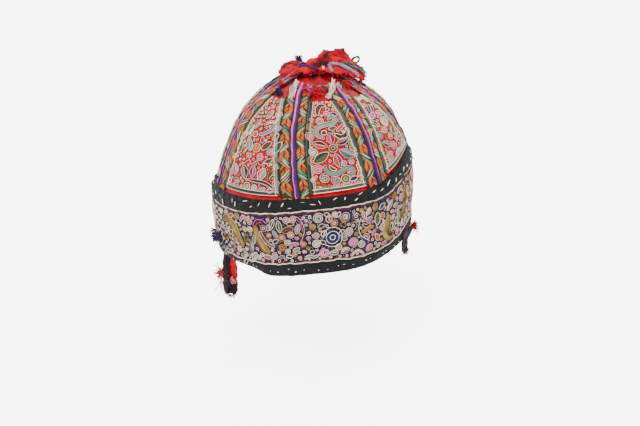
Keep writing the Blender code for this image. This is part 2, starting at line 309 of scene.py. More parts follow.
def crumple(points, size, seed, waves=16):
    """An uneven soft swelling between about -1 and 1, with folds about size apart, at points in metres."""
    draw = np.random.default_rng(seed)
    turned = draw.normal(size=(waves, 3))
    turned /= np.linalg.norm(turned, axis=1, keepdims=True)
    pitch = size * MM * draw.uniform(0.7, 1.6, waves)
    start = draw.uniform(0, math.tau, waves)
    return np.sin(points @ (turned / pitch[:, None]).T * math.tau + start).sum(-1) / math.sqrt(2 * waves)


def lay_grid(name, points, chart, material, closed=False):
    """A mesh over points [across, up], with its flat chart in millimetres as UV map."""
    columns, rows = chart.shape[0] - 1, chart.shape[1] - 1
    kept = points[:columns] if closed else points
    i, j = np.meshgrid(np.arange(columns), np.arange(rows), indexing="ij")
    corners = [(i, j), (i + 1, j), (i + 1, j + 1), (i, j + 1)]
    faces = np.stack([(a % len(kept)) * (rows + 1) + b for a, b in corners], -1).reshape(-1, 4)
    flat = np.stack([chart[a, b] for a, b in corners], -2).reshape(-1, 2)
    piece = new_piece(name, kept.reshape(-1, 3).tolist(), [], faces.tolist(), material)
    piece.data.uv_layers.new(name="cloth").data.foreach_set("uv", flat.ravel())
    return piece


def give_wall(piece, wall, outward=False):
    solidify = piece.modifiers.new("wall", "SOLIDIFY")
    solidify.thickness = wall * MM
    solidify.offset = 1.0 if outward else -1.0
    return piece


def new_group(name, inputs, outputs):
    """A shader node group with its named sockets."""
    group = bpy.data.node_groups.new(name, "ShaderNodeTree")
    for label, kind, value in inputs:
        socket = group.interface.new_socket(label, in_out="INPUT", socket_type=kind)
        if value is not None:
            socket.default_value = value
    for label, kind in outputs:
        group.interface.new_socket(label, in_out="OUTPUT", socket_type=kind)
    return group, group.nodes.new("NodeGroupInput"), group.nodes.new("NodeGroupOutput")


def woven_group():
    """Plain weave: a height that rises and falls thread by thread, with slubs."""
    group, given, made = new_group(
        "woven threads",
        [("Flat place", "NodeSocketVector", None), ("Threads", "NodeSocketFloat", 2.0)],
        [("Height", "NodeSocketFloat")],
    )
    scaled = put(group, "ShaderNodeVectorMath", {0: given.outputs[0]}, operation="SCALE")
    group.links.new(given.outputs["Threads"], scaled.inputs["Scale"])
    slub = put(group, "ShaderNodeTexNoise", {"Vector": scaled.outputs[0], "Scale": 0.35, "Detail": 2.0})
    part = put(group, "ShaderNodeSeparateXYZ", {0: scaled.outputs[0]})
    waves = []
    for axis in (0, 1):
        turn = reckon(group, "MULTIPLY", part.outputs[axis], math.pi)
        waves.append(reckon(group, "SINE", turn))
    woven = reckon(group, "MULTIPLY", *waves)
    group.links.new(reckon(group, "ADD", woven, slub.outputs["Fac"]), made.inputs["Height"])
    return group


def worn_group():
    """Uneven old dye: a colour with soft patches and a fine grain of lighter and darker threads."""
    group, given, made = new_group(
        "worn dye",
        [
            ("Colour", "NodeSocketColor", None),
            ("Patch size", "NodeSocketFloat", 9.0),
            ("Patches", "NodeSocketFloat", 0.3),
            ("Grain", "NodeSocketFloat", 0.25),
        ],
        [("Colour", "NodeSocketColor")],
    )
    place = put(group, "ShaderNodeTexCoord").outputs["Object"]
    size = reckon(group, "DIVIDE", 1 / MM, given.outputs["Patch size"])
    patch = put(group, "ShaderNodeTexNoise", {"Vector": place, "Scale": size, "Detail": 4.0})
    grain = put(group, "ShaderNodeTexNoise", {"Vector": place, "Scale": 1.1 / MM, "Detail": 3.0})
    value = None
    for noise, amount in ((patch, given.outputs["Patches"]), (grain, given.outputs["Grain"])):
        off = reckon(group, "SUBTRACT", noise.outputs["Fac"], 0.5)
        swing = reckon(group, "MULTIPLY", off, 3.0)
        share = reckon(group, "MULTIPLY_ADD", swing, amount, 1.0)
        value = share if value is None else reckon(group, "MULTIPLY", share, value)
    faded = put(group, "ShaderNodeHueSaturation", {"Color": given.outputs["Colour"], "Value": value})
    group.links.new(faded.outputs["Color"], made.inputs["Colour"])
    return group


WOVEN = woven_group()
WORN = worn_group()


def cloth_material(name, colour, threads, roughness=0.85, relief=0.5, patches=0.3, grain=0.25, **values):
    """A woven and worn cloth of one colour, or of the colours that its own points carry."""
    material, tree, shader = finish_material(name, roughness, **values)
    worn = put(tree, "ShaderNodeGroup", node_tree=WORN)
    if colour:
        worn.inputs["Colour"].default_value = colour
    else:
        own = put(tree, "ShaderNodeAttribute", attribute_name="thread", attribute_type="GEOMETRY")
        tree.links.new(own.outputs["Color"], worn.inputs["Colour"])
    worn.inputs["Patches"].default_value = patches
    worn.inputs["Grain"].default_value = grain
    tree.links.new(worn.outputs["Colour"], shader.inputs["Base Color"])
    woven = put(tree, "ShaderNodeGroup", {}, node_tree=WOVEN)
    flat = put(tree, "ShaderNodeUVMap", uv_map="cloth")
    tree.links.new(flat.outputs["UV"], woven.inputs["Flat place"])
    woven.inputs["Threads"].default_value = threads
    bump = put(tree, "ShaderNodeBump", {"Strength": relief, "Distance": 0.1 * MM, "Height": woven.outputs[0]})
    tree.links.new(bump.outputs["Normal"], shader.inputs["Normal"])
    return material


def ring_cloth(name, heights, prouds, material, swell=0.0, swell_size=9.0, seed=1):
    """A closed ring of cloth round the hat, through levels of height and proud distance."""
    angle = np.linspace(-math.pi, math.pi, COLUMNS_ROUND + 1)[:, None]
    heights, prouds = np.asarray(heights, float)[None], np.asarray(prouds, float)[None]
    flat = on_hat(angle, heights, prouds)
    points = on_hat(angle, heights, prouds + swell * crumple(flat, swell_size, seed))
    run = np.concatenate([[0.0], np.cumsum(np.hypot(np.diff(heights[0]), np.diff(prouds[0])))])
    chart = joined(angle * BAND_GIRTH, run[None])
    return lay_grid(name, points, chart, material, closed=True)


def declare_cloth(piece, turned_under=0.0):
    """Works out the size that a cloth was cut to, from its flat chart and the width of its turned edges, but
    does not keep it.
    """
    mesh = piece.data
    flat = np.zeros(2 * len(mesh.loops))
    mesh.uv_layers["cloth"].data.foreach_get("uv", flat)
    corners = flat.reshape(-1, 4, 2) * MM
    size = corners.max((0, 1)) - corners.min((0, 1))
    one, other = corners[:, 2] - corners[:, 0], corners[:, 3] - corners[:, 1]
    area = np.abs(one[:, 0] * other[:, 1] - one[:, 1] * other[:, 0]).sum() / 2
    width, length = size[0], size[1] + turned_under * MM
    area = min(area + width * turned_under * MM, width * length)


def dress(piece, slot, *nodes):
    """Hides the imported parts that a piece stands for and hangs the piece from the root."""
    if nodes:
        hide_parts(*nodes)
    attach(piece, "root")
    return piece


def finish_cloth(piece, wall, slot, node, outward=False, turned_under=0.0):
    """Gives a cloth its thickness, hides the imported part that it stands for and hangs it from the root."""
    give_wall(piece, wall, outward)
    dress(piece, slot, node)
    declare_cloth(piece, turned_under)


def on_band(u, v, proud):
    """Where a point of the band's flat chart lies on the hat. V is 0 at the lower binding's upper edge."""
    angle, height = np.asarray(u) / BAND_GIRTH, LOWER_BINDING_HEAD + np.asarray(v)
    swell = BAND_CRUMPLE * crumple(on_hat(angle, height), BAND_FOLD_SIZE, BAND_FOLD_SEED)
    return on_hat(angle, height, np.asarray(proud) + swell)


band_satin = cloth_material(
    "band_satin", dye(52, 14, 84), 3.0, roughness=0.6, patches=0.5, Sheen_Weight=0.25, Sheen_Roughness=0.4
)
band_heights = np.linspace(BAND_FOOT, BAND_HEAD, BAND_ROWS)
band_folds = dict(swell=BAND_CRUMPLE, swell_size=BAND_FOLD_SIZE, seed=BAND_FOLD_SEED)
band = ring_cloth("band_cloth", band_heights, np.zeros(BAND_ROWS), band_satin, **band_folds)
finish_cloth(band, BAND_WALL, "band_satin", "band")

# The band's embroidery. Silk threads laid close together fill each leaf, petal and scroll. A twisted cord is
# couched round it over a wider dark cord, which is painted shadow, and all of it is sewn down on the satin.
SILKS = {
    "white": dye(246, 240, 232),
    "cream": dye(250, 232, 208),
    "blush": dye(246, 202, 198),
    "pink": dye(226, 110, 158),
    "bright": dye(240, 104, 204),
    "crimson": dye(196, 40, 66),
    "red": dye(226, 42, 48),
    "coral": dye(228, 84, 62),
    "orange": dye(238, 136, 44),
    "gold": dye(198, 172, 96),
    "amber": dye(222, 108, 30),
    "reed": dye(192, 182, 138),
    "olive": dye(118, 116, 72),
    "brown": dye(112, 74, 58),
    "umber": dye(62, 42, 42),
    "maroon": dye(112, 38, 56),
    "mint": dye(132, 176, 148),
    "grey": dye(92, 116, 98),
    "green": dye(44, 70, 54),
    "pale": dye(160, 184, 190),
    "blue": dye(104, 128, 146),
    "navy": dye(38, 30, 112),
    "purple": dye(88, 24, 132),
    "lavender": dye(186, 160, 208),
    "black": dye(40, 46, 48),
    "night": dye(26, 8, 38),
    "wine": dye(66, 4, 18),
}
TWIN_SILKS = ("pink", "maroon", "green", "coral", "blush", "grey", "purple", "mint")
CREAM_KIN = ("cream", "blush", "white", "gold")
CREAM_SHARES = (0.5, 0.3, 0.05, 0.15)
CURL_PITCH = 1.45
GAP_SILKS = ("maroon", "green", "crimson", "grey", "gold", "coral", "purple", "wine", "pink", "blue")
KNOT_SILKS = ("white", "cream", "blush", "gold")
GAP_CURL = 1.35
GAP_LEAF = 0.95
GAP_KNOT = 0.55
KNOT_ROOM = 1.1
FILL_REACH = 25.0
CORD_RADIUS = 0.3
CORD_STEP = 1.1
# The wider dark cords under the cords are painted shadow; they take every other point of a long run.
CORD_SHADOW_POINTS = 16
CORD_LIFT = 0.6
CORD_SHADOW_RADIUS = 0.7
STITCH_LIFT = 0.55
FILL_DOME = 0.42
TWIN_LIFT = 0.2
PETAL_POINT = 0.85
BEAN_POINT = 0.5
TWO_TONE_WIDTH = 3.5
TWIN_PLACE = 0.42
TWIN_WIDTH = 0.45
CURL_EYE = 0.4
SEED_SLANT = (0.6, 0.2)
KNOT_SLANT = (0.5, 0.2)
KNOT_WIDTH = 0.6
RIB_THREAD = 0.5
RINGED_DISC = 1.8
RING_SHARE = 0.42
FILL_RING = np.array([(-1.0, -0.4), (-0.8, 0.5), (-0.3, 0.95), (0.3, 0.95), (0.8, 0.5), (1.0, -0.4)])
DYE_SPREAD = 0.16

# The kinds of motif come first. Fills, cords and stitches are what they are made of.
Petal = namedtuple("Petal", "u v turn length width silk second cord bend", defaults=(None, "cream", 0.0))
Bean = namedtuple("Bean", "u v turn length width silk cord bend", defaults=("cream", 0.0))
Disc = namedtuple("Disc", "u v radius silk cord", defaults=("cream",))
Curl = namedtuple("Curl", "u v radius turn silk cord", defaults=("cream",))
Scroll = namedtuple("Scroll", "points width silk cord", defaults=("cream",))
Ribs = namedtuple("Ribs", "points width silk cord", defaults=("cream",))
Vine = namedtuple("Vine", "points cord", defaults=("cream",))
Seeds = namedtuple("Seeds", "u v radius count silk")
Fill = namedtuple("Fill", "spine half silk lift", defaults=(0.0,))
Cord = namedtuple("Cord", "points silk radius")
Stitch = namedtuple("Stitch", "start end width silk")


def smooth_run(points, step=CORD_STEP):
    """A smooth curve through charted points, with a point at each step."""
    points = np.asarray(points, float)
    run = run_along(points)
    count = max(3, round(run[-1] / step) + 1)
    return read_table(np.column_stack([run, points]), np.linspace(0, run[-1], count))[:, 1:]


def sides_of(run):
    way = np.gradient(run, axis=0)
    way /= np.linalg.norm(way, axis=1, keepdims=True)
    return joined(-way[:, 1], way[:, 0])


def turned_leaf(motif, roundness):
    """The spine and half widths of a leaf or bean, which narrows to both ends."""
    share = np.linspace(0, 1, max(5, round(motif.length / 1.5) + 1))
    half = motif.width / 2 * np.sin(math.pi * np.clip(share, 0.01, 0.99)) ** roundness
    bow = motif.bend * (1 - (2 * share - 1) ** 2)
    reach = (share - 0.5) * motif.length
    turn = math.radians(motif.turn)
    u = motif.u + reach * math.cos(turn) - bow * math.sin(turn)
    v = motif.v + reach * math.sin(turn) + bow * math.cos(turn)
    return joined(u, v), half


def round_fill(u, v, radius, silk):
    rows = 5 if radius < 1.5 else 7
    turn = np.linspace(0.12, math.pi - 0.12, rows)
    return Fill(joined(u - radius * np.cos(turn), v), radius * np.sin(turn), silk)


def round_line(u, v, radius, turns=1.15, start=0.0, end_radius=None):
    count = max(9, round(math.tau * radius * turns / CORD_STEP))
    turn = np.radians(start) + np.linspace(0, math.tau * turns, count)
    reach = np.linspace(radius, radius if end_radius is None else end_radius, count)
    return joined(u + reach * np.cos(turn), v + reach * np.sin(turn))


def edge_line(spine, half):
    """The outline of a fill, as one run that overlaps where it meets."""
    side = sides_of(spine) * (half + 0.1)[:, None]
    loop = np.concatenate([spine + side, (spine - side)[::-1], (spine + side)[:2]])
    return smooth_run(loop)


def draw_motifs(motifs, width_scale=1.0, height_scale=1.0, shift=0.0, mirror=False, seed=1):
    """Turns charted motifs into fills, cord lines and stitches in a flat chart of millimetres."""
    fills, lines, stitches = [], [], []
    draw = np.random.default_rng(seed)
    for motif in motifs:
        kind = type(motif)
        if kind in (Petal, Bean):
            spine, half = turned_leaf(motif, PETAL_POINT if kind is Petal else BEAN_POINT)
            fills.append(Fill(spine, half, motif.silk))
            lines.append((edge_line(spine, half), motif.cord))
            if kind is Petal and motif.width > TWO_TONE_WIDTH:
                side = sides_of(spine) * half[:, None]
                second = motif.second or draw.choice(TWIN_SILKS)
                fills.append(Fill(spine + TWIN_PLACE * side, TWIN_WIDTH * half, second, TWIN_LIFT))
                lines.append((spine[1:-1], motif.cord))
        elif kind is Disc:
            fills.append(round_fill(motif.u, motif.v, motif.radius, motif.silk))
            lines.append((round_line(motif.u, motif.v, motif.radius), motif.cord))
            if motif.radius > RINGED_DISC:
                lines.append((round_line(motif.u, motif.v, RING_SHARE * motif.radius), motif.cord))
        elif kind is Curl:
            fills.append(round_fill(motif.u, motif.v, 0.92 * motif.radius, motif.silk))
            eye = round_fill(motif.u, motif.v, CURL_EYE * motif.radius, draw.choice(TWIN_SILKS))
            fills.append(eye._replace(lift=TWIN_LIFT))
            turns, inner = max(1.2, motif.radius / CURL_PITCH), 0.12 * motif.radius
            lines.append((round_line(motif.u, motif.v, motif.radius, turns, motif.turn, inner), motif.cord))
        elif kind is Seeds:
            for place in round_line(motif.u, motif.v, motif.radius, 1 - 1 / motif.count):
                stitches.append(Stitch(place, place + SEED_SLANT, KNOT_WIDTH, motif.silk))
        elif kind is Vine:
            lines.append((smooth_run(motif.points), motif.cord))
        else:
            spine = smooth_run(motif.points, 1.1)
            share = np.linspace(0.02, 0.98, len(spine))
            half = motif.width / 2 * np.sin(math.pi * share) ** 0.35
            fills.append(Fill(spine, half, motif.silk))
            lines.append((edge_line(spine, half), motif.cord))
            if kind is Ribs:
                side = sides_of(spine) * (half * 0.95)[:, None]
                for here, reach in zip(spine[1:-1], side[1:-1]):
                    stitches.append(Stitch(here - reach, here + reach, RIB_THREAD, "brown"))
    scale = np.array([-width_scale if mirror else width_scale, height_scale])
    offset = np.array([shift, 0.0])
    fills = [fill._replace(spine=fill.spine * scale + offset, half=fill.half * width_scale) for fill in fills]
    lines = [
        (line * scale + offset, draw.choice(CREAM_KIN, p=CREAM_SHARES) if silk == "cream" else silk)
        for line, silk in lines
    ]
    stitches = [Stitch(s.start * scale + offset, s.end * scale + offset, s.width, s.silk) for s in stitches]
    return fills, lines, stitches


def gap_grid(across, up):
    """Every place of a grid on a flat chart."""
    u, v = np.meshgrid(across, up)
    return joined(u.ravel(), v.ravel())


def fill_gaps(drawings, places, edges, largest, seed):
    """Adds small curls, leaves and knots in the gaps between drawn motifs, in the largest gap first."""
    draw = np.random.default_rng(seed)
    fills, lines, _ = [sum(kind, []) for kind in zip(*drawings)]
    drawn = np.concatenate([line for line, _ in lines])
    tree = KDTree(len(drawn))
    for index, point in enumerate(drawn):
        tree.insert((*point, 0.0), index)
    tree.balance()
    free = np.array([tree.find((*place, 0.0))[2] for place in places]) - 2 * CORD_RADIUS
    free = np.minimum(free, edges)
    for fill in fills:
        near = np.abs(places[:, 0] - fill.spine[:, 0].mean()) < FILL_REACH
        room = np.linalg.norm(places[near, None] - fill.spine, axis=2) - fill.half
        free[near] = np.minimum(free[near], room.min(1))
    motifs, knots = [], []
    while free.max() > GAP_KNOT:
        best = free.argmax()
        u, v = places[best]
        size = min(free[best] * draw.uniform(0.8, 1.0), largest)
        silk, turn = draw.choice(GAP_SILKS), draw.uniform(0, 360)
        if size > GAP_CURL:
            motifs.append(Curl(u, v, size, turn, silk))
        elif size > GAP_LEAF:
            motifs.append(Petal(u, v, turn, 2.1 * size, 1.3 * size, silk))
        else:
            knot = places[best]
            knots.append(Stitch(knot, knot + KNOT_SLANT, KNOT_WIDTH, draw.choice(KNOT_SILKS)))
            size = KNOT_ROOM
        free = np.minimum(free, np.linalg.norm(places - places[best], axis=1) - size - 2 * CORD_RADIUS)
    more = draw_motifs(motifs, seed=seed)
    more[2].extend(knots)
    return drawings + [more]


def thread_colours(silks, counts, seed):
    """One colour for each point, with its thread's own lightness."""
    draw = np.random.default_rng(seed)
    shade = 1 + DYE_SPREAD * draw.normal(size=len(silks))
    rows = [np.append(np.array(SILKS[silk][:3]) * max(level, 0.4), 1.0) for silk, level in zip(silks, shade)]
    return np.clip(np.repeat(np.array(rows), counts, axis=0), 0, 1)


def store(mesh, name, kind, values):
    attribute = mesh.attributes.new(name, kind, "POINT")
    field = {"FLOAT": "value", "FLOAT_VECTOR": "vector", "FLOAT_COLOR": "color"}[kind]
    attribute.data.foreach_set(field, np.ascontiguousarray(values, float).ravel())


def lay_forms(name, rings, charts, silks, seed):
    """Low closed forms given as rings of points in metres, one after another along each form."""
    points, faces = [], []
    count = 0
    for ring_points in rings:
        rows, ring = ring_points.shape[:2]
        points.append(ring_points.reshape(-1, 3))
        i, j = np.meshgrid(np.arange(rows - 1), np.arange(ring), indexing="ij")
        after = (j + 1) % ring
        quads = np.stack([i * ring + j, i * ring + after, (i + 1) * ring + after, (i + 1) * ring + j], -1)
        faces += (quads.reshape(-1, 4) + count).tolist()
        faces.append([count + k for k in reversed(range(ring))])
        faces.append([count + (rows - 1) * ring + k for k in range(ring)])
        count += rows * ring
    piece = new_piece(name, np.concatenate(points).tolist(), [], faces, silk_fill)
    mesh = piece.data
    corner_points = np.zeros(len(mesh.loops), dtype=np.int32)
    mesh.loops.foreach_get("vertex_index", corner_points)
    flat = np.concatenate([chart.reshape(-1, 2) for chart in charts])[corner_points]
    mesh.uv_layers.new(name="cloth").data.foreach_set("uv", flat.ravel())
    counts = [ring_points.shape[0] * ring_points.shape[1] for ring_points in rings]
    store(mesh, "thread", "FLOAT_COLOR", thread_colours(silks, counts, seed))
    return outward_faces(piece)


def on_chart(place, flat, proud):
    """Where points of a flat chart lie on the hat."""
    return place(flat[..., 0], flat[..., 1], proud)


def lay_fills(name, fills, place, base, seed):
    """Low domed fills of satin stitch, each a closed form whose flat side is on the cloth."""
    rings, charts = [], []
    for order, fill in enumerate(fills):
        side = sides_of(fill.spine)[:, None] * fill.half[:, None, None]
        flat = fill.spine[:, None] + side * FILL_RING[None, :, :1]
        dome = FILL_DOME * np.clip(fill.half / 1.3, 0.25, 1.0)[:, None] * FILL_RING[None, :, 1]
        rings.append(on_chart(place, flat, base + fill.lift + dome + 0.02 * (order % 5)))
        across = fill.half[:, None] * FILL_RING[None, :, 0]
        charts.append(joined(run_along(fill.spine)[:, None], across))
    return lay_forms(name, rings, charts, [fill.silk for fill in fills], seed)


def outward_faces(piece):
    """Turns the faces of closed forms outwards, which a mirrored chart turns in."""
    form = bmesh.new()
    form.from_mesh(piece.data)
    bmesh.ops.recalc_face_normals(form, faces=form.faces)
    form.to_mesh(piece.data)
    form.free()
    return piece


def new_tree(name, inputs, output):
    """A Geometry Nodes tree with its named inputs."""
    tree = bpy.data.node_groups.new(name, "GeometryNodeTree")
    for label, kind in inputs:
        tree.interface.new_socket(label, in_out="INPUT", socket_type=kind)
    tree.interface.new_socket(output, in_out="OUTPUT", socket_type="NodeSocketGeometry")
    return tree, tree.nodes.new("NodeGroupInput").outputs, tree.nodes.new("NodeGroupOutput").inputs


def finish_tree(tree, shape, finish, result):
    """Every tree ends in real geometry with its material."""
    smooth = put(tree, "GeometryNodeSetShadeSmooth", {"Geometry": shape})
    real = put(tree, "GeometryNodeRealizeInstances", {"Geometry": smooth.outputs[0]})
    done = put(tree, "GeometryNodeSetMaterial", {"Geometry": real.outputs[0], "Material": finish})
    tree.links.new(done.outputs[0], result)


def named(tree, name, kind):
    return put(tree, "GeometryNodeInputNamedAttribute", {"Name": name}, data_type=kind).outputs["Attribute"]


def cord_tree():
    """A round cord along each run of edges, as thick as its points say."""
    sockets = [("Runs", "NodeSocketGeometry"), ("Sides", "NodeSocketInt"), ("Finish", "NodeSocketMaterial")]
    tree, given, made = new_tree("couched cord", sockets, "Cords")
    curve = put(tree, "GeometryNodeMeshToCurve", {"Mesh": given["Runs"]})
    length = put(tree, "GeometryNodeSplineParameter").outputs["Length"]
    marked = put(
        tree,
        "GeometryNodeStoreNamedAttribute",
        {"Geometry": curve.outputs[0], "Name": "along", "Value": length},
        data_type="FLOAT",
        domain="POINT",
    )
    ring = put(tree, "GeometryNodeCurvePrimitiveCircle", {"Resolution": given["Sides"], "Radius": 1.0})
    tube = put(
        tree,
        "GeometryNodeCurveToMesh",
        {
            "Curve": marked.outputs[0],
            "Profile Curve": ring.outputs[0],
            "Scale": named(tree, "thickness", "FLOAT"),
            "Fill Caps": True,
        },
    )
    finish_tree(tree, tube.outputs[0], given["Finish"], made["Cords"])
    return tree


def stitch_tree():
    """One flat rounded stitch at each point, laid along one direction and facing another."""
    sockets = [
        ("Places", "NodeSocketGeometry"),
        ("Segments", "NodeSocketInt"),
        ("Rings", "NodeSocketInt"),
        ("Finish", "NodeSocketMaterial"),
    ]
    tree, given, made = new_tree("laid stitch", sockets, "Stitches")
    form = {"Segments": given["Segments"], "Rings": given["Rings"], "Radius": 0.5}
    stitch = put(tree, "GeometryNodeMeshUVSphere", form)
    facing = put(
        tree, "FunctionNodeAlignRotationToVector", {"Vector": named(tree, "face", "FLOAT_VECTOR")}, axis="X"
    )
    lying = put(
        tree,
        "FunctionNodeAlignRotationToVector",
        {"Rotation": facing.outputs[0], "Vector": named(tree, "lie", "FLOAT_VECTOR")},
        axis="Z",
        pivot_axis="X",
    )
    laid = put(
        tree,
        "GeometryNodeInstanceOnPoints",
        {
            "Points": given["Places"],
            "Instance": stitch.outputs[0],
            "Rotation": lying.outputs[0],
            "Scale": named(tree, "size", "FLOAT_VECTOR"),
        },
    )
    finish_tree(tree, laid.outputs[0], given["Finish"], made["Stitches"])
    return tree


def settle(piece, tree, **values):
    """Runs a Geometry Nodes tree on a piece and keeps its result as a plain mesh."""
    modifier = piece.modifiers.new(tree.name, "NODES")
    modifier.node_group = tree
    for socket in tree.interface.items_tree:
        if socket.in_out == "INPUT" and socket.name in values:
            modifier[socket.identifier] = values[socket.name]
    graph = bpy.context.evaluated_depsgraph_get()
    made = piece.evaluated_get(graph)
    mesh = bpy.data.meshes.new_from_object(made, preserve_all_data_layers=True, depsgraph=graph)
    piece.modifiers.remove(modifier)
    source = piece.data
    piece.data = mesh
    bpy.data.meshes.remove(source)
    mesh.name = piece.name
    return piece


HAT_MIDDLE = np.array([0.0, 0.0, -0.08])
CORD_TREE = cord_tree()
STITCH_TREE = stitch_tree()


def lay_cords(name, cords, sides=5, seed=1):
    """Couched or loose cords along runs of points in metres."""
    points = np.concatenate([cord.points for cord in cords])
    counts = [len(cord.points) for cord in cords]
    edges, side, start = [], [], 0
    for cord in cords:
        edges += [(start + k, start + k + 1) for k in range(len(cord.points) - 1)]
        start += len(cord.points)
        across = np.cross(np.gradient(cord.points, axis=0), cord.points - HAT_MIDDLE)
        side.append(across / (np.linalg.norm(across, axis=1, keepdims=True) + 1e-12))
    piece = new_piece(name, points.tolist(), edges, [])
    mesh = piece.data
    store(mesh, "thread", "FLOAT_COLOR", thread_colours([cord.silk for cord in cords], counts, seed))
    thickness = [np.broadcast_to(cord.radius, len(cord.points)) for cord in cords]
    store(mesh, "thickness", "FLOAT", np.concatenate(thickness) * MM)
    store(mesh, "side", "FLOAT_VECTOR", np.concatenate(side))
    return settle(piece, CORD_TREE, Sides=sides, Finish=couched_cord)


def lay_stitches(name, starts, ends, widths, silks, heights=None, segments=5, rings=3, seed=1):
    """Flat stitches between pairs of points in metres, each as high as wide where no height is given."""
    middles = (starts + ends) / 2
    lie = ends - starts
    length = np.linalg.norm(lie, axis=1)
    piece = new_piece(name, middles.tolist(), [], [])
    mesh = piece.data
    store(mesh, "thread", "FLOAT_COLOR", thread_colours(silks, np.ones(len(silks), int), seed))
    store(mesh, "lie", "FLOAT_VECTOR", lie)
    store(mesh, "face", "FLOAT_VECTOR", middles - HAT_MIDDLE)
    height = widths if heights is None else heights
    store(mesh, "size", "FLOAT_VECTOR", joined(height * MM, widths * MM, length))
    return settle(piece, STITCH_TREE, Segments=segments, Rings=rings, Finish=silk_thread)


def silk_material(name, roughness, twist=0.0, lines=0.0, patches=0.2, **values):
    """Thread of the colour that each stitch carries, with its twist or its laid lines."""
    material, tree, shader = finish_material(name, roughness, **values)
    colour = put(tree, "ShaderNodeAttribute", attribute_name="thread", attribute_type="GEOMETRY")
    worn = put(tree, "ShaderNodeGroup", node_tree=WORN)
    worn.inputs["Patch size"].default_value = 5.0
    worn.inputs["Patches"].default_value = patches
    worn.inputs["Grain"].default_value = 0.2
    tree.links.new(colour.outputs["Color"], worn.inputs["Colour"])
    if lines:
        flat = put(tree, "ShaderNodeUVMap", uv_map="cloth")
        part = put(tree, "ShaderNodeSeparateXYZ", {0: flat.outputs["UV"]})
        drift = put(tree, "ShaderNodeTexNoise", {"Vector": flat.outputs["UV"], "Scale": 0.8})
        phase = reckon(tree, "MULTIPLY", part.outputs[0], lines)
        phase = reckon(tree, "MULTIPLY_ADD", drift.outputs["Fac"], 5.0, phase)
    else:
        along = put(tree, "ShaderNodeAttribute", attribute_name="along", attribute_type="GEOMETRY")
        side = put(tree, "ShaderNodeAttribute", attribute_name="side", attribute_type="GEOMETRY")
        facing = put(tree, "ShaderNodeNewGeometry")
        both = {0: facing.outputs["Normal"], 1: side.outputs["Vector"]}
        lean = put(tree, "ShaderNodeVectorMath", both, operation="DOT_PRODUCT")
        phase = reckon(tree, "MULTIPLY", along.outputs["Fac"], twist / MM)
        phase = reckon(tree, "MULTIPLY_ADD", lean.outputs["Value"], 2.2, phase)
    wave = reckon(tree, "SINE", phase)
    shade = reckon(tree, "MULTIPLY_ADD", wave, 0.26, 0.84)
    shaded = put(tree, "ShaderNodeHueSaturation", {"Color": worn.outputs["Colour"], "Value": shade})
    tree.links.new(shaded.outputs["Color"], shader.inputs["Base Color"])
    bump = put(tree, "ShaderNodeBump", {"Strength": 0.5, "Distance": 0.12 * MM, "Height": wave})
    tree.links.new(bump.outputs["Normal"], shader.inputs["Normal"])
    return material


def embroider(name, drawings, place, base, slot, shadow_silk, seed):
    """Sews drawn motifs on a cloth: the fills, then the cords over wider dark cords of painted shadow, then
    the stitches.
    """
    fills, lines, stitches = [sum(kind, []) for kind in zip(*drawings)]
    dress(lay_fills(f"{name}_satin", fills, place, base, seed), slot)
    cords = [Cord(on_chart(place, line, base + CORD_LIFT), silk, CORD_RADIUS) for line, silk in lines]
    dress(lay_cords(f"{name}_cords", cords, seed=seed), slot)
    # A wider dark cord under each cord: painted shadow where the cord shades the cloth.
    shadow_cords = [line[::2] if len(line) > CORD_SHADOW_POINTS else line for line, _ in lines]
    shadow_cords = [Cord(on_chart(place, line, base), shadow_silk, CORD_SHADOW_RADIUS) for line in shadow_cords]
    dress(lay_cords(f"{name}_painted_cord_shadows", shadow_cords, sides=4, seed=seed), slot)
    if stitches:
        starts, ends, widths, silks = zip(*stitches)
        places = [on_chart(place, np.array(flat), base + STITCH_LIFT) for flat in (starts, ends)]
        dress(lay_stitches(f"{name}_stitches", *places, np.array(widths), silks, seed=seed), slot)


silk_fill = silk_material("silk_fill", 0.5, lines=11.0, Sheen_Weight=0.15)
couched_cord = silk_material("couched_cord", 0.62, twist=6.5, Sheen_Weight=0.2)
silk_thread = silk_material("silk_thread", 0.55, twist=9.0, Sheen_Weight=0.2)

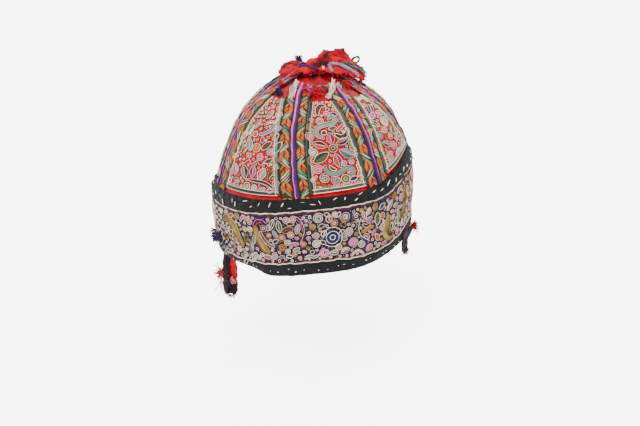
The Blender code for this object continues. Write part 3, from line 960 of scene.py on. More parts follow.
# The band's motifs, charted in millimetres from the middle of the front and from the lower binding.
MEDALLION = [
    Disc(-2, 19.5, 4.9, "navy", "white"),
    Vine(
        [(-9.2, 19.5), (-7.4, 25.2), (-2, 27.4), (3.6, 25.2)]
        + [(5.2, 19.5), (3.4, 13.8), (-2, 12.2), (-7.6, 14)],
    ),
    Curl(-14.2, 22.6, 2.9, 160, "pink"),
    Bean(-8.6, 23.4, 50, 5, 3.2, "maroon"),
    Curl(-14.2, 15.4, 3.6, 20, "mint"),
    Petal(-9.4, 16.4, -40, 5.5, 3, "green"),
    Curl(-8.2, 7.6, 4.2, 90, "bright", "blush"),
    Disc(2.4, 11.2, 2.4, "pink"),
    Petal(-1, 5.8, 0, 6.5, 4.6, "green", "mint", "cream", 1.2),
    Petal(8, 6.8, 20, 7.4, 4.8, "mint", "blush", "blush", 1.2),
    Bean(4.8, 22.6, 60, 5.4, 3, "green"),
    Petal(6.6, 17.8, -30, 5.4, 3.2, "mint"),
    Curl(10.4, 22.6, 3.8, 200, "pale", "blush"),
    Curl(13.8, 13.4, 4.2, 270, "bright", "blush"),
    Petal(-4.2, 34.2, 90, 6, 4.4, "pink"),
    Petal(-5.4, 37.4, 150, 5, 2.8, "maroon"),
    Petal(2.8, 36.6, 40, 5.2, 2.8, "grey"),
    Curl(-12, 35.4, 4, 30, "grey"),
    Curl(8.2, 34.2, 4.2, 150, "black"),
    Disc(8.2, 34.2, 1.6, "white", "cream"),
    Petal(-10, 29.4, 20, 5.6, 3, "green"),
    Petal(6.2, 28.6, -20, 5, 3, "green"),
    Disc(-0.4, 30.4, 2.6, "pink"),
    Disc(0.2, 37, 2, "blush"),
    Disc(-16.6, 29.2, 2.2, "gold", "gold"),
    Seeds(-21, 34.4, 4, 12, "white"),
    Seeds(-21, 34.4, 2.2, 7, "lavender"),
    Disc(-21, 34.4, 0.9, "pink"),
    Seeds(16.2, 33, 2.6, 8, "white"),
    Disc(-24, 16.4, 2.2, "coral"),
    Seeds(-20, 20.2, 1.4, 5, "white"),
    Seeds(-19, 11.6, 1.4, 5, "gold"),
    Disc(-17.6, 9.2, 1.6, "navy", "blush"),
    Scroll([(-23.5, 3.6), (-20.4, 6.2), (-16.2, 5), (-12.4, 6.6)], 1.8, "mint"),
    Scroll([(12, 2.6), (14.6, 4.6), (18, 6.2), (21.4, 4), (23.6, 1.6)], 1.6, "blush"),
    Vine([(15, 23), (17, 26), (15.4, 29.4), (12.6, 28.6)]),
    Disc(16.4, 19.6, 1.5, "gold", "gold"),
]
LEFT_DRAGONS = [
    Petal(-47.4, 33, 70, 9, 3.6, "green"),
    Petal(-41.6, 31.4, 100, 9.5, 4, "green"),
    Petal(-45.2, 25.6, 120, 6.6, 3, "mint"),
    Disc(-36, 36, 2.4, "bright"),
    Disc(-31, 36.2, 2.3, "pink"),
    Petal(-33, 33, 0, 6, 3, "maroon"),
    Bean(-35.2, 28.4, 10, 9, 4.6, "brown"),
    Disc(-33, 24.6, 2.5, "orange"),
    Petal(-27.6, 28.6, 75, 8, 3.6, "pale"),
    Vine([(-31, 39), (-26.6, 37), (-23.4, 32), (-22.8, 26), (-24.6, 20.6), (-26.2, 17.2)]),
    Vine([(-31, 37.8), (-27.4, 35.6), (-24.6, 31.6), (-24, 26)], "pink"),
    Disc(-40, 22.6, 2.7, "pink"),
    Bean(-45.2, 19.6, 30, 5.4, 3, "green"),
    Curl(-40.2, 14.4, 3.2, 0, "coral"),
    Curl(-35.6, 18.6, 2.7, 120, "mint"),
    Bean(-30.8, 16.8, 0, 7, 2.4, "bright"),
    Bean(-29.4, 12.4, 20, 5.4, 2.6, "mint"),
    Disc(-36, 11.4, 1.9, "pink"),
    Disc(-31, 8.6, 1.9, "pink"),
    Bean(-35, 7, -10, 4.8, 2.6, "green"),
    Curl(-46.6, 7.4, 3.2, 60, "green"),
    Bean(-53, 6.6, -10, 7, 3, "pink"),
    Bean(-41, 7, 10, 4.6, 2.4, "blue"),
    Ribs([(-61.6, 31.4), (-61, 25), (-57.6, 18.6), (-54, 12.6), (-50.8, 10)], 6, "gold", "gold"),
    Scroll([(-57.4, 27.6), (-54.4, 21.4), (-50.4, 17), (-46, 15.4)], 2.2, "olive"),
    Vine([(-63.6, 32), (-60.4, 36.4), (-55.4, 36.8), (-51.8, 33.6)], "bright"),
    Vine([(-62, 30.4), (-58.8, 34.4), (-55, 34.6)], "coral"),
    Disc(-54.4, 30, 2.6, "maroon"),
    Disc(-50.2, 24.6, 2.1, "coral"),
    Seeds(-50.2, 37.4, 1.7, 6, "gold"),
    Bean(-50.4, 30.6, 80, 5, 2.6, "blue"),
    Curl(-57.6, 7.8, 2.3, 0, "mint"),
    Bean(-63.6, 20, 75, 7.6, 3.2, "mint"),
    Scroll([(-75.6, 34), (-73, 38), (-69.4, 36.4), (-67, 39)], 2.2, "bright"),
    Disc(-66.4, 34.6, 2.2, "green"),
    Disc(-66.6, 28.4, 2.2, "pink"),
    Bean(-66.4, 13.4, 85, 8, 3.6, "pale"),
    Curl(-71.4, 28, 2.8, 120, "grey"),
    Petal(-71, 20.6, 60, 7.4, 3.4, "green"),
    Disc(-61, 5.4, 2, "blush"),
    Ribs(
        [(-98, 31), (-92, 33), (-86, 29.6), (-81.8, 24.4), (-78.6, 17.6), (-75.4, 12.4)],
        7.4,
        "gold",
        "gold",
    ),
    Curl(-80, 36.6, 3.2, 0, "mint"),
    Bean(-86.4, 36.6, 10, 6, 3, "coral"),
    Curl(-93.4, 38, 2.4, 80, "pale"),
    Petal(-88, 22, 40, 7, 3.4, "green"),
    Bean(-84, 15.4, 60, 6.4, 3.2, "pink"),
    Curl(-80.4, 8.6, 3.1, 40, "pale"),
    Disc(-74, 5.6, 2.3, "mint"),
    Scroll([(-70, 3.6), (-66.4, 7), (-62, 9)], 2, "cream"),
    Bean(-96, 24, 20, 6, 3, "blue"),
    Disc(-91.4, 16.6, 1.9, "gold", "gold"),
    Curl(-101, 36, 2.8, 10, "green"),
]
RIGHT_DRAGONS = [
    Vine([(20.4, 31.4), (18.8, 27), (18.6, 22), (20.6, 17.2), (24, 14.6), (28.4, 11.4)]),
    Petal(25.6, 15.6, -40, 7, 3.6, "navy"),
    Petal(23.6, 32.6, 110, 6.4, 3.6, "pink"),
    Petal(27.6, 34.8, 60, 6, 3.4, "blush"),
    Bean(27.6, 28.6, 20, 6, 3.2, "lavender"),
    Scroll([(22, 26), (25, 24), (29, 25.2)], 2.2, "navy"),
    Scroll([(21, 20), (24.4, 20.6), (28, 22.4), (31.6, 22)], 2.4, "orange"),
    Disc(21.6, 36.4, 1.7, "gold", "gold"),
    Curl(21.4, 10.6, 3.3, 80, "green"),
    Curl(28.2, 6.4, 3.4, 200, "pink"),
    Bean(31.8, 17.2, 70, 5.4, 3, "bright"),
    Petal(35.4, 12.4, -60, 7.4, 3.4, "coral"),
    Bean(35.6, 27, 85, 9, 5, "olive"),
    Curl(33.8, 36.4, 3, 30, "mint"),
    Petal(40.4, 35, 20, 7, 3.4, "purple"),
    Disc(40.4, 27.6, 2.4, "crimson"),
    Ribs([(47.6, 24.6), (45, 19), (45.4, 12.6), (49.4, 7.6), (54, 6.4)], 7.6, "gold", "gold"),
    Curl(39.8, 19, 3.2, 260, "pale"),
    Curl(37.2, 4.8, 2.6, 0, "mint"),
    Bean(43, 4.6, 0, 5, 2.6, "pink"),
    Bean(53.2, 14, 60, 6.4, 3.4, "mint"),
    Disc(52.4, 21, 2.3, "pink"),
    Petal(48.6, 32, 45, 8, 3.8, "green"),
    Curl(54.6, 36.4, 3, 200, "coral"),
    Bean(55.6, 28.6, -20, 6.4, 3, "pale"),
    Curl(60.4, 5.4, 3, 100, "green"),
    Scroll([(58, 12.4), (60, 17), (58.6, 21.6), (60.6, 25)], 2.6, "mint"),
    Ribs([(62.6, 15), (67.4, 17), (70.4, 23), (68.6, 29.6), (72, 35.6)], 7, "gold", "gold"),
    Disc(63.6, 29.6, 2.5, "bright"),
    Bean(62, 36.4, 10, 7, 3, "lavender"),
    Curl(66.4, 8.4, 3.1, 10, "pink"),
    Petal(73.4, 10.4, 60, 7.4, 3.4, "green"),
    Disc(75, 20, 2.5, "mint"),
    Bean(75.4, 28.6, 80, 6.4, 3, "coral"),
    Curl(72, 4.6, 2.3, 0, "pale"),
    Curl(78.4, 36.6, 2.8, 90, "blush"),
]
BAND_GAP_STEP = 0.9
BAND_GAP_CURL = 1.9
# Level on the chart, silk and radius.
BAND_PIPINGS = [(41.4, "cream", 0.65), (40.0, "maroon", 0.5), (0.8, "cream", 0.6), (2.1, "maroon", 0.45)]

# Chart, shift round the band and whether it is mirrored.
BAND_ARTS = [
    (MEDALLION, 0.0, False),
    (LEFT_DRAGONS, 0.0, False),
    (RIGHT_DRAGONS, 0.0, False),
    (LEFT_DRAGONS, 56.0, True),
    (RIGHT_DRAGONS, 138.0, False),
    (MEDALLION, 244.0, True),
    (MEDALLION, -131.0, False),
    (RIGHT_DRAGONS, -137.0, True),
]
band_drawings = [
    draw_motifs(motifs, shift=shift, mirror=mirror, seed=number + 1)
    for number, (motifs, shift, mirror) in enumerate(BAND_ARTS)
]
gap_places = gap_grid(np.arange(-247.0, 248.0, BAND_GAP_STEP), np.arange(2.6, 38.5, BAND_GAP_STEP))
gap_edges = np.minimum(gap_places[:, 1] - 2.0, 39.0 - gap_places[:, 1])
band_drawings = fill_gaps(band_drawings, gap_places, gap_edges, BAND_GAP_CURL, 33)
# The "night" silk is the painted shadow under the band's cords.
embroider("band", band_drawings, on_band, 0.0, "panel_embroidery", "night", 31)

piping_turn = np.linspace(-math.pi, math.pi, 620)
pipings = []
for level, silk, radius in BAND_PIPINGS:
    wander = level + 0.25 * np.sin(piping_turn * 37) + 0.15 * np.sin(piping_turn * 81)
    pipings.append(Cord(on_band(piping_turn * BAND_GIRTH, wander, radius * 0.8), silk, radius))
dress(lay_cords("band_pipings", pipings, seed=32), "panel_embroidery")

# The lower binding. A strip of black cotton is folded over the raw hem and caught down with coarse white
# thread, whose stitches are as uneven as a hand leaves them.
LOWER_BINDING_INSIDE = 7.0
GAP = 0.4
BINDING_WALL = 1.0
BINDING_PUCKER = 0.28
HEM_STITCHES = 64
HEM_STITCH_WIDTH = 0.85
HEM_STITCH_HEIGHT = 0.8


def sew_binding(name, count, height, rise, lengths, proud, seed):
    """Uneven white stitches round a binding."""
    draw = np.random.default_rng(seed)
    angle = np.linspace(-math.pi, math.pi, count, endpoint=False) + draw.uniform(-0.035, 0.035, count)
    level = height + draw.uniform(-rise, rise, count)
    length = draw.uniform(*lengths, count)
    lean = np.radians(draw.normal(35, 40, count))
    half_turn = length * np.cos(lean) / 2 / BAND_GIRTH
    half_rise = length * np.sin(lean) / 2
    sewn = lay_stitches(
        name,
        on_hat(angle - half_turn, level - half_rise, proud),
        on_hat(angle + half_turn, level + half_rise, proud),
        draw.uniform(0.5, 1.2, count) * HEM_STITCH_WIDTH,
        draw.choice(["white", "cream", "blush", "pale"], count, p=[0.6, 0.25, 0.05, 0.1]),
        heights=HEM_STITCH_HEIGHT,
        segments=8,
        rings=6,
        seed=seed,
    )
    dress(sewn, "binding")


binding_cotton = cloth_material(
    "binding_cotton", dye(28, 30, 33), 2.2, relief=0.9, patches=0.9, grain=0.7, Sheen_Weight=0.12
)
binding_inside = -(BAND_WALL + GAP)
hem_turns = np.linspace(math.pi, math.tau, 7)
hem_middle = (binding_inside + GAP) / 2
hem_reach = (GAP - binding_inside) / 2
lower_prouds = np.concatenate(
    [np.full(4, binding_inside), hem_middle + hem_reach * np.cos(hem_turns), np.full(9, GAP)]
)
lower_heights = np.concatenate(
    [
        np.linspace(BAND_FOOT + LOWER_BINDING_INSIDE, BAND_FOOT + 1.4, 4),
        BAND_FOOT + 0.6 + 0.9 * np.sin(hem_turns),
        np.linspace(BAND_FOOT + 1.4, LOWER_BINDING_HEAD, 9),
    ]
)
hem_folds = dict(swell=BINDING_PUCKER, swell_size=5.0, seed=8)
lower_binding = ring_cloth("lower_binding_cloth", lower_heights, lower_prouds, binding_cotton, **hem_folds)
finish_cloth(lower_binding, BINDING_WALL, "binding", "lower_binding", outward=True)
sew_binding("hem_stitches", HEM_STITCHES, 20.8, 1.7, (1.1, 2.4), GAP + BINDING_WALL + 0.3, 12)

# The gores. Seven leaves of red cotton, wide at the band and narrow at the top, are seamed into the crown.
# They show as strips between the panels and the band, and under the gathered top.
GORE_FOOT = 71.2
GORE_HEAD = 145.5
TRIM_FOOT = 77.2
CROWN_WALL = 2.0
SEAM_GAP = 1.0
GORE_PUCKER = 0.22
GORE_ROWS = 44
GORE_COLUMNS = 25
BRAID_NARROWING = 0.75

Seam = namedtuple("Seam", "foot head before after")
# One row for each seam from the wearer's right round by the front: its angle at the band and at the gather,
# and the widths of its two braids at the band.
SEAMS = [
    Seam(-86.0, -86.0, 10.0, 12.0),
    Seam(-20.0, -33.0, 10.6, 8.5),
    Seam(32.0, 21.0, 9.5, 5.5),
    Seam(83.0, 62.0, 9.5, 9.0),
    Seam(131.0, 116.0, 9.5, 9.5),
    Seam(179.0, 169.0, 9.5, 9.5),
    Seam(226.0, 222.0, 10.0, 10.0),
]


def radius_at(height):
    return read_table(SECTIONS, height)[..., 1]


def seam_share(height):
    return (np.asarray(height, float) - TRIM_FOOT) / (GORE_HEAD - TRIM_FOOT)


def seam_angle(number, height):
    turns, index = divmod(number, len(SEAMS))
    seam = SEAMS[index]
    return np.radians(seam.foot + (seam.head - seam.foot) * seam_share(height) + 360 * turns)


gore_cotton = cloth_material(
    "gore_cotton",
    dye(206, 12, 40),
    2.4,
    roughness=0.8,
    relief=0.7,
    patches=0.35,
    grain=0.45,
    Sheen_Weight=0.3,
)
gore_heights = np.linspace(GORE_FOOT, GORE_HEAD, GORE_ROWS)[None]
for number in range(len(SEAMS)):
    inset = SEAM_GAP / 2 / radius_at(gore_heights)
    low = seam_angle(number, gore_heights) + inset
    high = seam_angle(number + 1, gore_heights) - inset
    angle = low + (high - low) * np.linspace(0, 1, GORE_COLUMNS)[:, None]
    flat = on_hat(angle, gore_heights)
    swell = GORE_PUCKER * np.minimum(crumple(flat, 7.0, 20 + number), 0.9)
    middle = (low + high) / 2
    rise = run_along(on_hat(middle, gore_heights)[0], MM)
    chart = joined((angle - middle) * radius_at(gore_heights), rise[None])
    gore = lay_grid(f"gore_{number + 1}_cloth", on_hat(angle, gore_heights, swell), chart, gore_cotton)
    node = f"crown_gore_{number + 1}"
    finish_cloth(gore, CROWN_WALL, "gore_cloth", node)

# The panels. On each gore lies a trapezoid of red cloth, embroidered before it was sewn down, with a flat
# green ribbon over its edges and a comb of short stitches just inside the ribbon.
PANEL_FOOT = 79.8
PANEL_HEAD = 136.6
APPLIED_WALL = 1.0
CORD_WIDTH = 3.0
SIDE_GAP = 0.4
PANEL_FACE = GAP + APPLIED_WALL
PANEL_PUCKER = 0.25
RIBBON_WIDTH = 2.6
COMB_PITCH = 1.5
COMB_LENGTH = 1.9


def braid_width(number, after, height):
    seam = SEAMS[number % len(SEAMS)]
    return (seam.after if after else seam.before) * (1 - (1 - BRAID_NARROWING) * seam_share(height))


def panel_sides(number, height):
    """The angles of a panel's two edges."""
    trim = CORD_WIDTH / 2 + 2 * SIDE_GAP
    round_by = radius_at(height)
    low = seam_angle(number, height) + (trim + braid_width(number, True, height)) / round_by
    high = seam_angle(number + 1, height) - (trim + braid_width(number + 1, False, height)) / round_by
    return low, high


def panel_frame(number):
    """A panel's heights, its rise along the middle, and its half width, all from foot to head."""
    heights = np.linspace(PANEL_FOOT, PANEL_HEAD, 80)
    low, high = panel_sides(number, heights)
    middle = on_hat((low + high) / 2, heights, PANEL_FACE)
    return heights, run_along(middle, MM), (high - low) / 2 * radius_at(heights)


def panel_place(number):
    """Where a point of a panel's flat chart lies on the hat."""
    heights, rise, _ = panel_frame(number)

    def place(u, v, proud):
        height = np.interp(v, rise, heights)
        low, high = panel_sides(number, height)
        angle = (low + high) / 2 + u / radius_at(height)
        swell = PANEL_PUCKER * crumple(on_hat(angle, height), 8.0, 40 + number)
        return on_hat(angle, height, np.asarray(proud) + swell)

    return place


panel_cotton = cloth_material(
    "panel_cotton",
    dye(198, 14, 34),
    2.6,
    roughness=0.75,
    relief=0.6,
    patches=0.4,
    grain=0.4,
    Sheen_Weight=0.2,
)
for number in range(len(SEAMS)):
    heights, rise, half = panel_frame(number)
    place = panel_place(number)
    across = np.linspace(-1, 1, 25)[:, None] * half[None, ::2]
    chart = joined(across, rise[None, ::2])
    ground = lay_grid(f"panel_{number + 1}_ground", on_chart(place, chart, PANEL_FACE), chart, panel_cotton)
    node, under = f"crown_panel_{number + 1}", f"crown_gore_{number + 1}"
    finish_cloth(ground, APPLIED_WALL, "panel_embroidery", node)

# The panels' motifs, charted in millimetres from the middle of each panel and from its foot.
FRONT_MOTIFS = [
    Disc(0.7, 31.5, 3.1, "maroon"),
    Vine(
        [(2.6, 33.4), (0.7, 34.2), (-1.4, 33), (-1.8, 30.6)]
        + [(0, 28.8), (2.4, 29.2), (3.4, 31.4), (2.6, 33.4)],
        "blush",
    ),
    Petal(0.3, 38.8, 93, 9, 5, "crimson", "pink", "blush"),
    Petal(8, 35.4, 15, 9.6, 5, "purple", "coral"),
    Petal(-7.6, 35, 160, 10, 5, "green", "coral"),
    Petal(9.4, 26, -37, 12.4, 6, "blue", "pale"),
    Petal(-8.4, 25.8, 210, 13, 6, "green", "olive"),
    Petal(2.2, 22, -80, 11, 5.4, "coral", "pink", "blush"),
    Scroll(
        [(-4, 39.5), (-8, 41.8), (-8.6, 45.4), (-5.4, 48.6), (0, 50)]
        + [(4.5, 51), (5.8, 54), (3.2, 55.8), (0.8, 53.6)],
        3.2,
        "mint",
    ),
    Disc(-3.4, 43.6, 1.8, "brown"),
    Curl(-4.8, 53.4, 3, 200, "pink"),
    Curl(-11.4, 48, 3.1, 60, "purple"),
    Curl(-13.2, 41.4, 3.5, 0, "pink", "blush"),
    Curl(-12.6, 30.4, 3.4, 90, "blue"),
    Curl(-12.4, 17.4, 3.8, 10, "pink", "blush"),
    Curl(-9, 10.4, 3.6, 80, "purple"),
    Curl(-1.8, 8.2, 3.6, 110, "brown"),
    Disc(4.8, 8, 3.1, "olive"),
    Bean(10.6, 7.2, 10, 6.6, 3, "purple"),
    Scroll([(-5.4, 57.6), (-5.2, 61), (-3.4, 64.6), (-1, 66.4), (1.4, 65)], 2.8, "maroon"),
    Disc(0.6, 58.6, 2.1, "orange"),
    Bean(5.8, 58, -40, 5, 2.6, "purple"),
    Disc(2, 62.4, 1.4, "navy"),
    Bean(9.2, 52.4, 60, 4.6, 2.4, "blue"),
    Bean(2.8, 46.4, 10, 5.6, 2.8, "olive"),
    Scroll([(5.6, 43.6), (8.6, 46.4), (11.8, 49)], 2.2, "coral"),
    Scroll([(3.8, 41.6), (7.6, 38.9), (11.8, 40.6), (13, 45)], 3.2, "green"),
    Scroll(
        [(-7, 20), (-6.8, 15.4), (-2.6, 12.6), (3, 13.6), (7.2, 15.8), (10.8, 14.2), (11.2, 10.8), (8.2, 10)],
        3.0,
        "mint",
    ),
    Scroll([(-3.4, 19.4), (-3, 17), (0, 15.6)], 2, "green"),
    Disc(6, 19.4, 1.9, "purple"),
    Curl(11.8, 19.4, 2.4, 120, "pink"),
    Scroll([(15, 16.6), (16.4, 12), (14.6, 8)], 2.2, "coral"),
    Petal(14.4, 28.4, -45, 6.4, 2.6, "brown"),
    Seeds(15.6, 20.6, 1.1, 5, "navy"),
    Seeds(-15.8, 35.6, 1.1, 5, "navy"),
    Seeds(-10.8, 54, 1.3, 5, "white"),
    Seeds(13, 34.4, 1.5, 6, "white"),
    Seeds(16, 23.6, 1, 4, "white"),
    Seeds(16.8, 6.6, 1, 4, "white"),
    Curl(-17, 10, 2.1, 0, "mint"),
    Petal(-16.2, 24.4, 80, 6, 2.4, "grey"),
]
LEFT_MOTIFS = [
    Disc(1.5, 34, 3.2, "orange"),
    Petal(-5.4, 35.4, 120, 10.6, 5.4, "pale"),
    Bean(-14, 31, 80, 8.6, 5.4, "olive"),
    Bean(8.6, 36.6, 50, 8.6, 4, "brown"),
    Disc(12.6, 32.4, 2.4, "mint"),
    Bean(16.4, 36, 70, 10, 4.2, "olive"),
    Curl(-3.2, 27.4, 2.5, 120, "pink"),
    Curl(6, 27.4, 3, 60, "pink"),
    Petal(12.6, 25.4, 30, 8, 3, "brown"),
    Vine([(-6, 21), (-2, 24.4), (0.6, 21.4), (4, 24.6), (7.4, 21.8), (10.6, 24), (14, 21.4)]),
    Petal(-13.6, 15, 110, 8, 6.4, "pale"),
    Petal(-4.4, 15, 110, 10, 6, "green"),
    Petal(2.6, 16.4, 90, 9, 5, "pink", "maroon", "blush"),
    Petal(9.6, 15.4, 70, 9.4, 6, "mint"),
    Petal(17, 15.4, 60, 9.4, 4.6, "brown"),
    Curl(-10.6, 6.6, 3.2, 0, "maroon"),
    Disc(-0.6, 5.4, 2.6, "maroon"),
    Scroll([(0, 10), (8, 10), (14, 8.8), (18.6, 5.6)], 2.2, "green"),
    Disc(5.6, 5, 2, "purple", "white"),
    Bean(11.6, 4.4, 20, 4.4, 2.6, "mint"),
    Disc(16.8, 3.6, 1.8, "maroon"),
    Disc(20.4, 9, 2.3, "navy"),
    Curl(-18, 12, 2.6, 40, "coral"),
    Petal(-13.4, 39.6, 60, 9, 4.4, "mint"),
    Petal(-8.4, 45, 60, 10, 4.4, "blush"),
    Petal(-3.8, 51, 70, 9, 3.8, "mint"),
    Scroll([(1, 43.6), (5, 45.6), (9, 49.4), (10, 54)], 2.4, "pale"),
    Scroll([(2, 51.6), (5.4, 54.6), (8.4, 55), (10.4, 59)], 2.2, "blush"),
    Disc(-2.6, 43.4, 2.2, "orange"),
    Disc(8.8, 61.4, 2.3, "pale"),
    Disc(13, 50.6, 2, "purple", "white"),
    Bean(13.4, 44, 70, 6, 3, "grey"),
    Petal(2.4, 60.4, 75, 8, 3.6, "mint"),
    Curl(6.4, 66.4, 2.4, 0, "coral"),
    Curl(1, 67.4, 2, 0, "blush"),
    Curl(-18.6, 22.6, 2.9, 0, "grey"),
    Curl(18.6, 27, 2.5, 0, "pink"),
    Bean(-18.4, 6, 0, 5, 3, "blue"),
    Bean(4.6, 40.4, 100, 5, 2.6, "crimson"),
    Curl(18.8, 21, 2.2, 60, "mint"),
]
RIGHT_MOTIFS = [
    Scroll([(-3, 60), (0, 62), (3, 60.4), (2, 56.6)], 2.2, "cream"),
    Disc(5.6, 55, 2.2, "orange"),
    Petal(-1, 49.6, 70, 8.4, 4.4, "mint"),
    Bean(-4, 43.4, 40, 6.6, 4, "bright"),
    Bean(3, 43, -40, 6.6, 4, "bright"),
    Petal(-6.6, 36.6, 120, 8.4, 4, "purple"),
    Curl(3, 34.6, 4.4, 30, "blush"),
    Curl(-2.4, 28.6, 3, 160, "pink"),
    Curl(-8.6, 26.4, 3.4, 20, "grey"),
    Petal(4.6, 25.4, 60, 8.4, 4.4, "blue"),
    Disc(0, 21.6, 2.6, "coral"),
    Petal(-6.6, 17.8, 130, 8.4, 4.4, "mint"),
    Petal(6.4, 16.6, 45, 9, 4.4, "green"),
    Curl(-1.4, 13.4, 3.4, 200, "pink"),
    Curl(-9, 8.6, 3.6, 10, "mint"),
    Scroll([(-4, 5.4), (0, 7.6), (4, 5.6), (8, 8.4)], 2.4, "blush"),
    Curl(10.6, 8.2, 2.9, 90, "coral"),
    Petal(10.4, 29, 75, 7.6, 3.6, "olive"),
    Bean(8.2, 37.6, 80, 5.6, 3, "pale"),
    Seeds(-9.6, 45.4, 1.4, 6, "white"),
    Seeds(8.4, 47, 1.2, 5, "gold"),
    Bean(-12.4, 18, 85, 6.4, 2.6, "red"),
    Bean(12.4, 18, 85, 6, 2.8, "purple"),
    Curl(-13, 32.4, 2, 0, "cream"),
    Disc(-3.4, 54.4, 1.8, "pink"),
]

WIDEST_MOTIFS = 1.3
PANEL_GAP_STEP = 0.8
PANEL_GAP_CURL = 1.1
EDGING_RADIUS = 0.38
EDGING_PROUD = PANEL_FACE + 0.45
COMB_PROUD = PANEL_FACE + 0.35
COMB_WIDTH = 0.6

PanelArt = namedtuple("PanelArt", "motifs foot_half length mirror comb left right bottom")
FRONT_ART = (FRONT_MOTIFS, 20.5, 71.0)
LEFT_ART = (LEFT_MOTIFS, 24.0, 76.0)
RIGHT_ART = (RIGHT_MOTIFS, 18.0, 66.0)
PANEL_ARTS = [
    PanelArt(*LEFT_ART, False, "blush", "green", "mint", "green"),
    PanelArt(*FRONT_ART, False, "cream", "green", "grey", "grey"),
    PanelArt(*RIGHT_ART, False, "cream", "grey", "mint", "grey"),
    PanelArt(*LEFT_ART, True, "cream", "mint", "green", "grey"),
    PanelArt(*FRONT_ART, True, "blush", "grey", "green", "grey"),
    PanelArt(*RIGHT_ART, True, "cream", "green", "grey", "green"),
    PanelArt(*FRONT_ART, True, "cream", "green", "mint", "grey"),
]
for number, art in enumerate(PANEL_ARTS):
    heights, rise, half = panel_frame(number)
    place = panel_place(number)
    name = f"panel_{number + 1}"
    inner = half[0] - RIBBON_WIDTH
    widening = min(inner / (art.foot_half - RIBBON_WIDTH), WIDEST_MOTIFS)
    drawing = draw_motifs(art.motifs, widening, rise[-1] / art.length, mirror=art.mirror, seed=number + 20)
    gap_up = np.arange(RIBBON_WIDTH + 2, rise[-1] - 1.5, PANEL_GAP_STEP)
    gap_places = gap_grid(np.arange(-inner, inner, PANEL_GAP_STEP), gap_up)
    gap_edges = np.interp(gap_places[:, 1], rise, half) - RIBBON_WIDTH - 1.2 - np.abs(gap_places[:, 0])
    drawings = fill_gaps([drawing], gap_places, gap_edges, PANEL_GAP_CURL, 370 + number)
    # The "wine" silk is the painted shadow under the panel's cords.
    embroider(name, drawings, place, PANEL_FACE, "panel_embroidery", "wine", 300 + number)

    up = np.linspace(1.0, rise[-1] - 0.8, 60)
    half_ribbon = RIBBON_WIDTH / 2
    edge = np.interp(up, rise, half) - half_ribbon
    foot = np.linspace(-inner - 1, inner + 1, 30)
    ribbons = [
        Fill(joined(-edge, up), np.full(60, half_ribbon), art.left),
        Fill(joined(edge, up), np.full(60, half_ribbon), art.right),
        Fill(joined(foot, half_ribbon), np.full(30, half_ribbon), art.bottom),
    ]
    dress(lay_fills(f"{name}_ribbon", ribbons, place, PANEL_FACE, 320 + number), "braid")
    edging = []
    for way in (-1, 1):
        for reach, silk in ((edge + half_ribbon - 0.2, "grey"), (edge - half_ribbon - 0.2, "cream")):
            edging.append(Cord(place(way * reach, up, EDGING_PROUD), silk, EDGING_RADIUS))
    for level in (0.1, RIBBON_WIDTH + 0.3):
        edging.append(Cord(place(foot, np.full(30, level), EDGING_PROUD), "cream", EDGING_RADIUS))
    dress(lay_cords(f"{name}_edging", edging, seed=340 + number), "braid")

    draw = np.random.default_rng(360 + number)
    starts, ends = [], []
    for way in (-1, 1):
        teeth = np.arange(RIBBON_WIDTH + 2.5, rise[-1] - 2, COMB_PITCH)
        teeth = teeth + draw.normal(0, 0.15, len(teeth))
        root = np.interp(teeth, rise, half) - RIBBON_WIDTH - 0.5
        tip = root - COMB_LENGTH * draw.uniform(0.7, 1.2, len(teeth))
        starts.append(joined(way * root, teeth))
        ends.append(joined(way * tip, teeth + draw.normal(0.2, 0.3, len(teeth))))
    teeth = np.arange(-inner + 1.5, inner - 1.5, COMB_PITCH * 0.85)
    starts.append(joined(teeth, RIBBON_WIDTH + 0.8))
    tips = RIBBON_WIDTH + 2.6 + draw.normal(0, 0.2, len(teeth))
    ends.append(joined(teeth + draw.normal(0, 0.2, len(teeth)), tips))
    fan = np.linspace(-0.8, 0.8, 7)
    crest = np.interp(rise[-1] - 4, rise, half) * fan
    starts.append(joined(crest * 0.7, rise[-1] - 4))
    ends.append(joined(crest * 0.95, rise[-1] - 1.2))
    places = [on_chart(place, np.concatenate(flat), COMB_PROUD) for flat in (starts, ends)]
    silks = [art.comb] * len(places[0])
    comb = lay_stitches(f"{name}_comb", *places, COMB_WIDTH, silks, seed=380 + number)
    dress(comb, "panel_embroidery")

# The braids. Beside each seam run two braids worked in silk: orange blocks of slanted satin stitch alternate
# with open pale strands, which cross the whole width one way and then the other. A dark cord edges each.
BRAID_REPEAT = 12.6
BRAID_ORANGE_SHARE = 0.5
BRAID_PITCH = 0.7
STRAND_PITCH = 0.72
BRAID_SINK = 0.25
# Half a braid and the slant of its stitches, as shares of its width, and the least and most of what varies.
BRAID_HALF = 0.46
WARM_LEAN = 0.42
WARM_WIDTHS = (0.45, 0.8)
STRAND_LEANS = (0.6, 1.2)
STRAND_WIDTHS = (0.35, 0.65)
BRAID_WARM = (["orange", "amber", "gold", "brown"], [0.5, 0.3, 0.12, 0.08])
BRAID_COOL = (["mint", "cream", "reed", "grey"], [0.38, 0.3, 0.17, 0.15])
BRAID_FACE = PANEL_FACE + 0.1

braid_ground = cloth_material(
    "braid_ground",
    dye(84, 76, 52),
    2.0,
    roughness=0.8,
    relief=0.6,
    patches=0.6,
    grain=0.6,
    Sheen_Weight=0.1,
)


def seam_rise(number):
    """Heights up a seam and the run along it, from the band to the gather."""
    heights = np.linspace(TRIM_FOOT, GORE_HEAD, 90)
    return heights, run_along(on_hat(seam_angle(number, heights), heights, PANEL_FACE), MM)


def beside_seam(number, reach, height, proud):
    """A point at a distance from a seam, to the wearer's left of it where reach is above 0."""
    return on_hat(seam_angle(number, height) + reach / radius_at(height), height, proud)


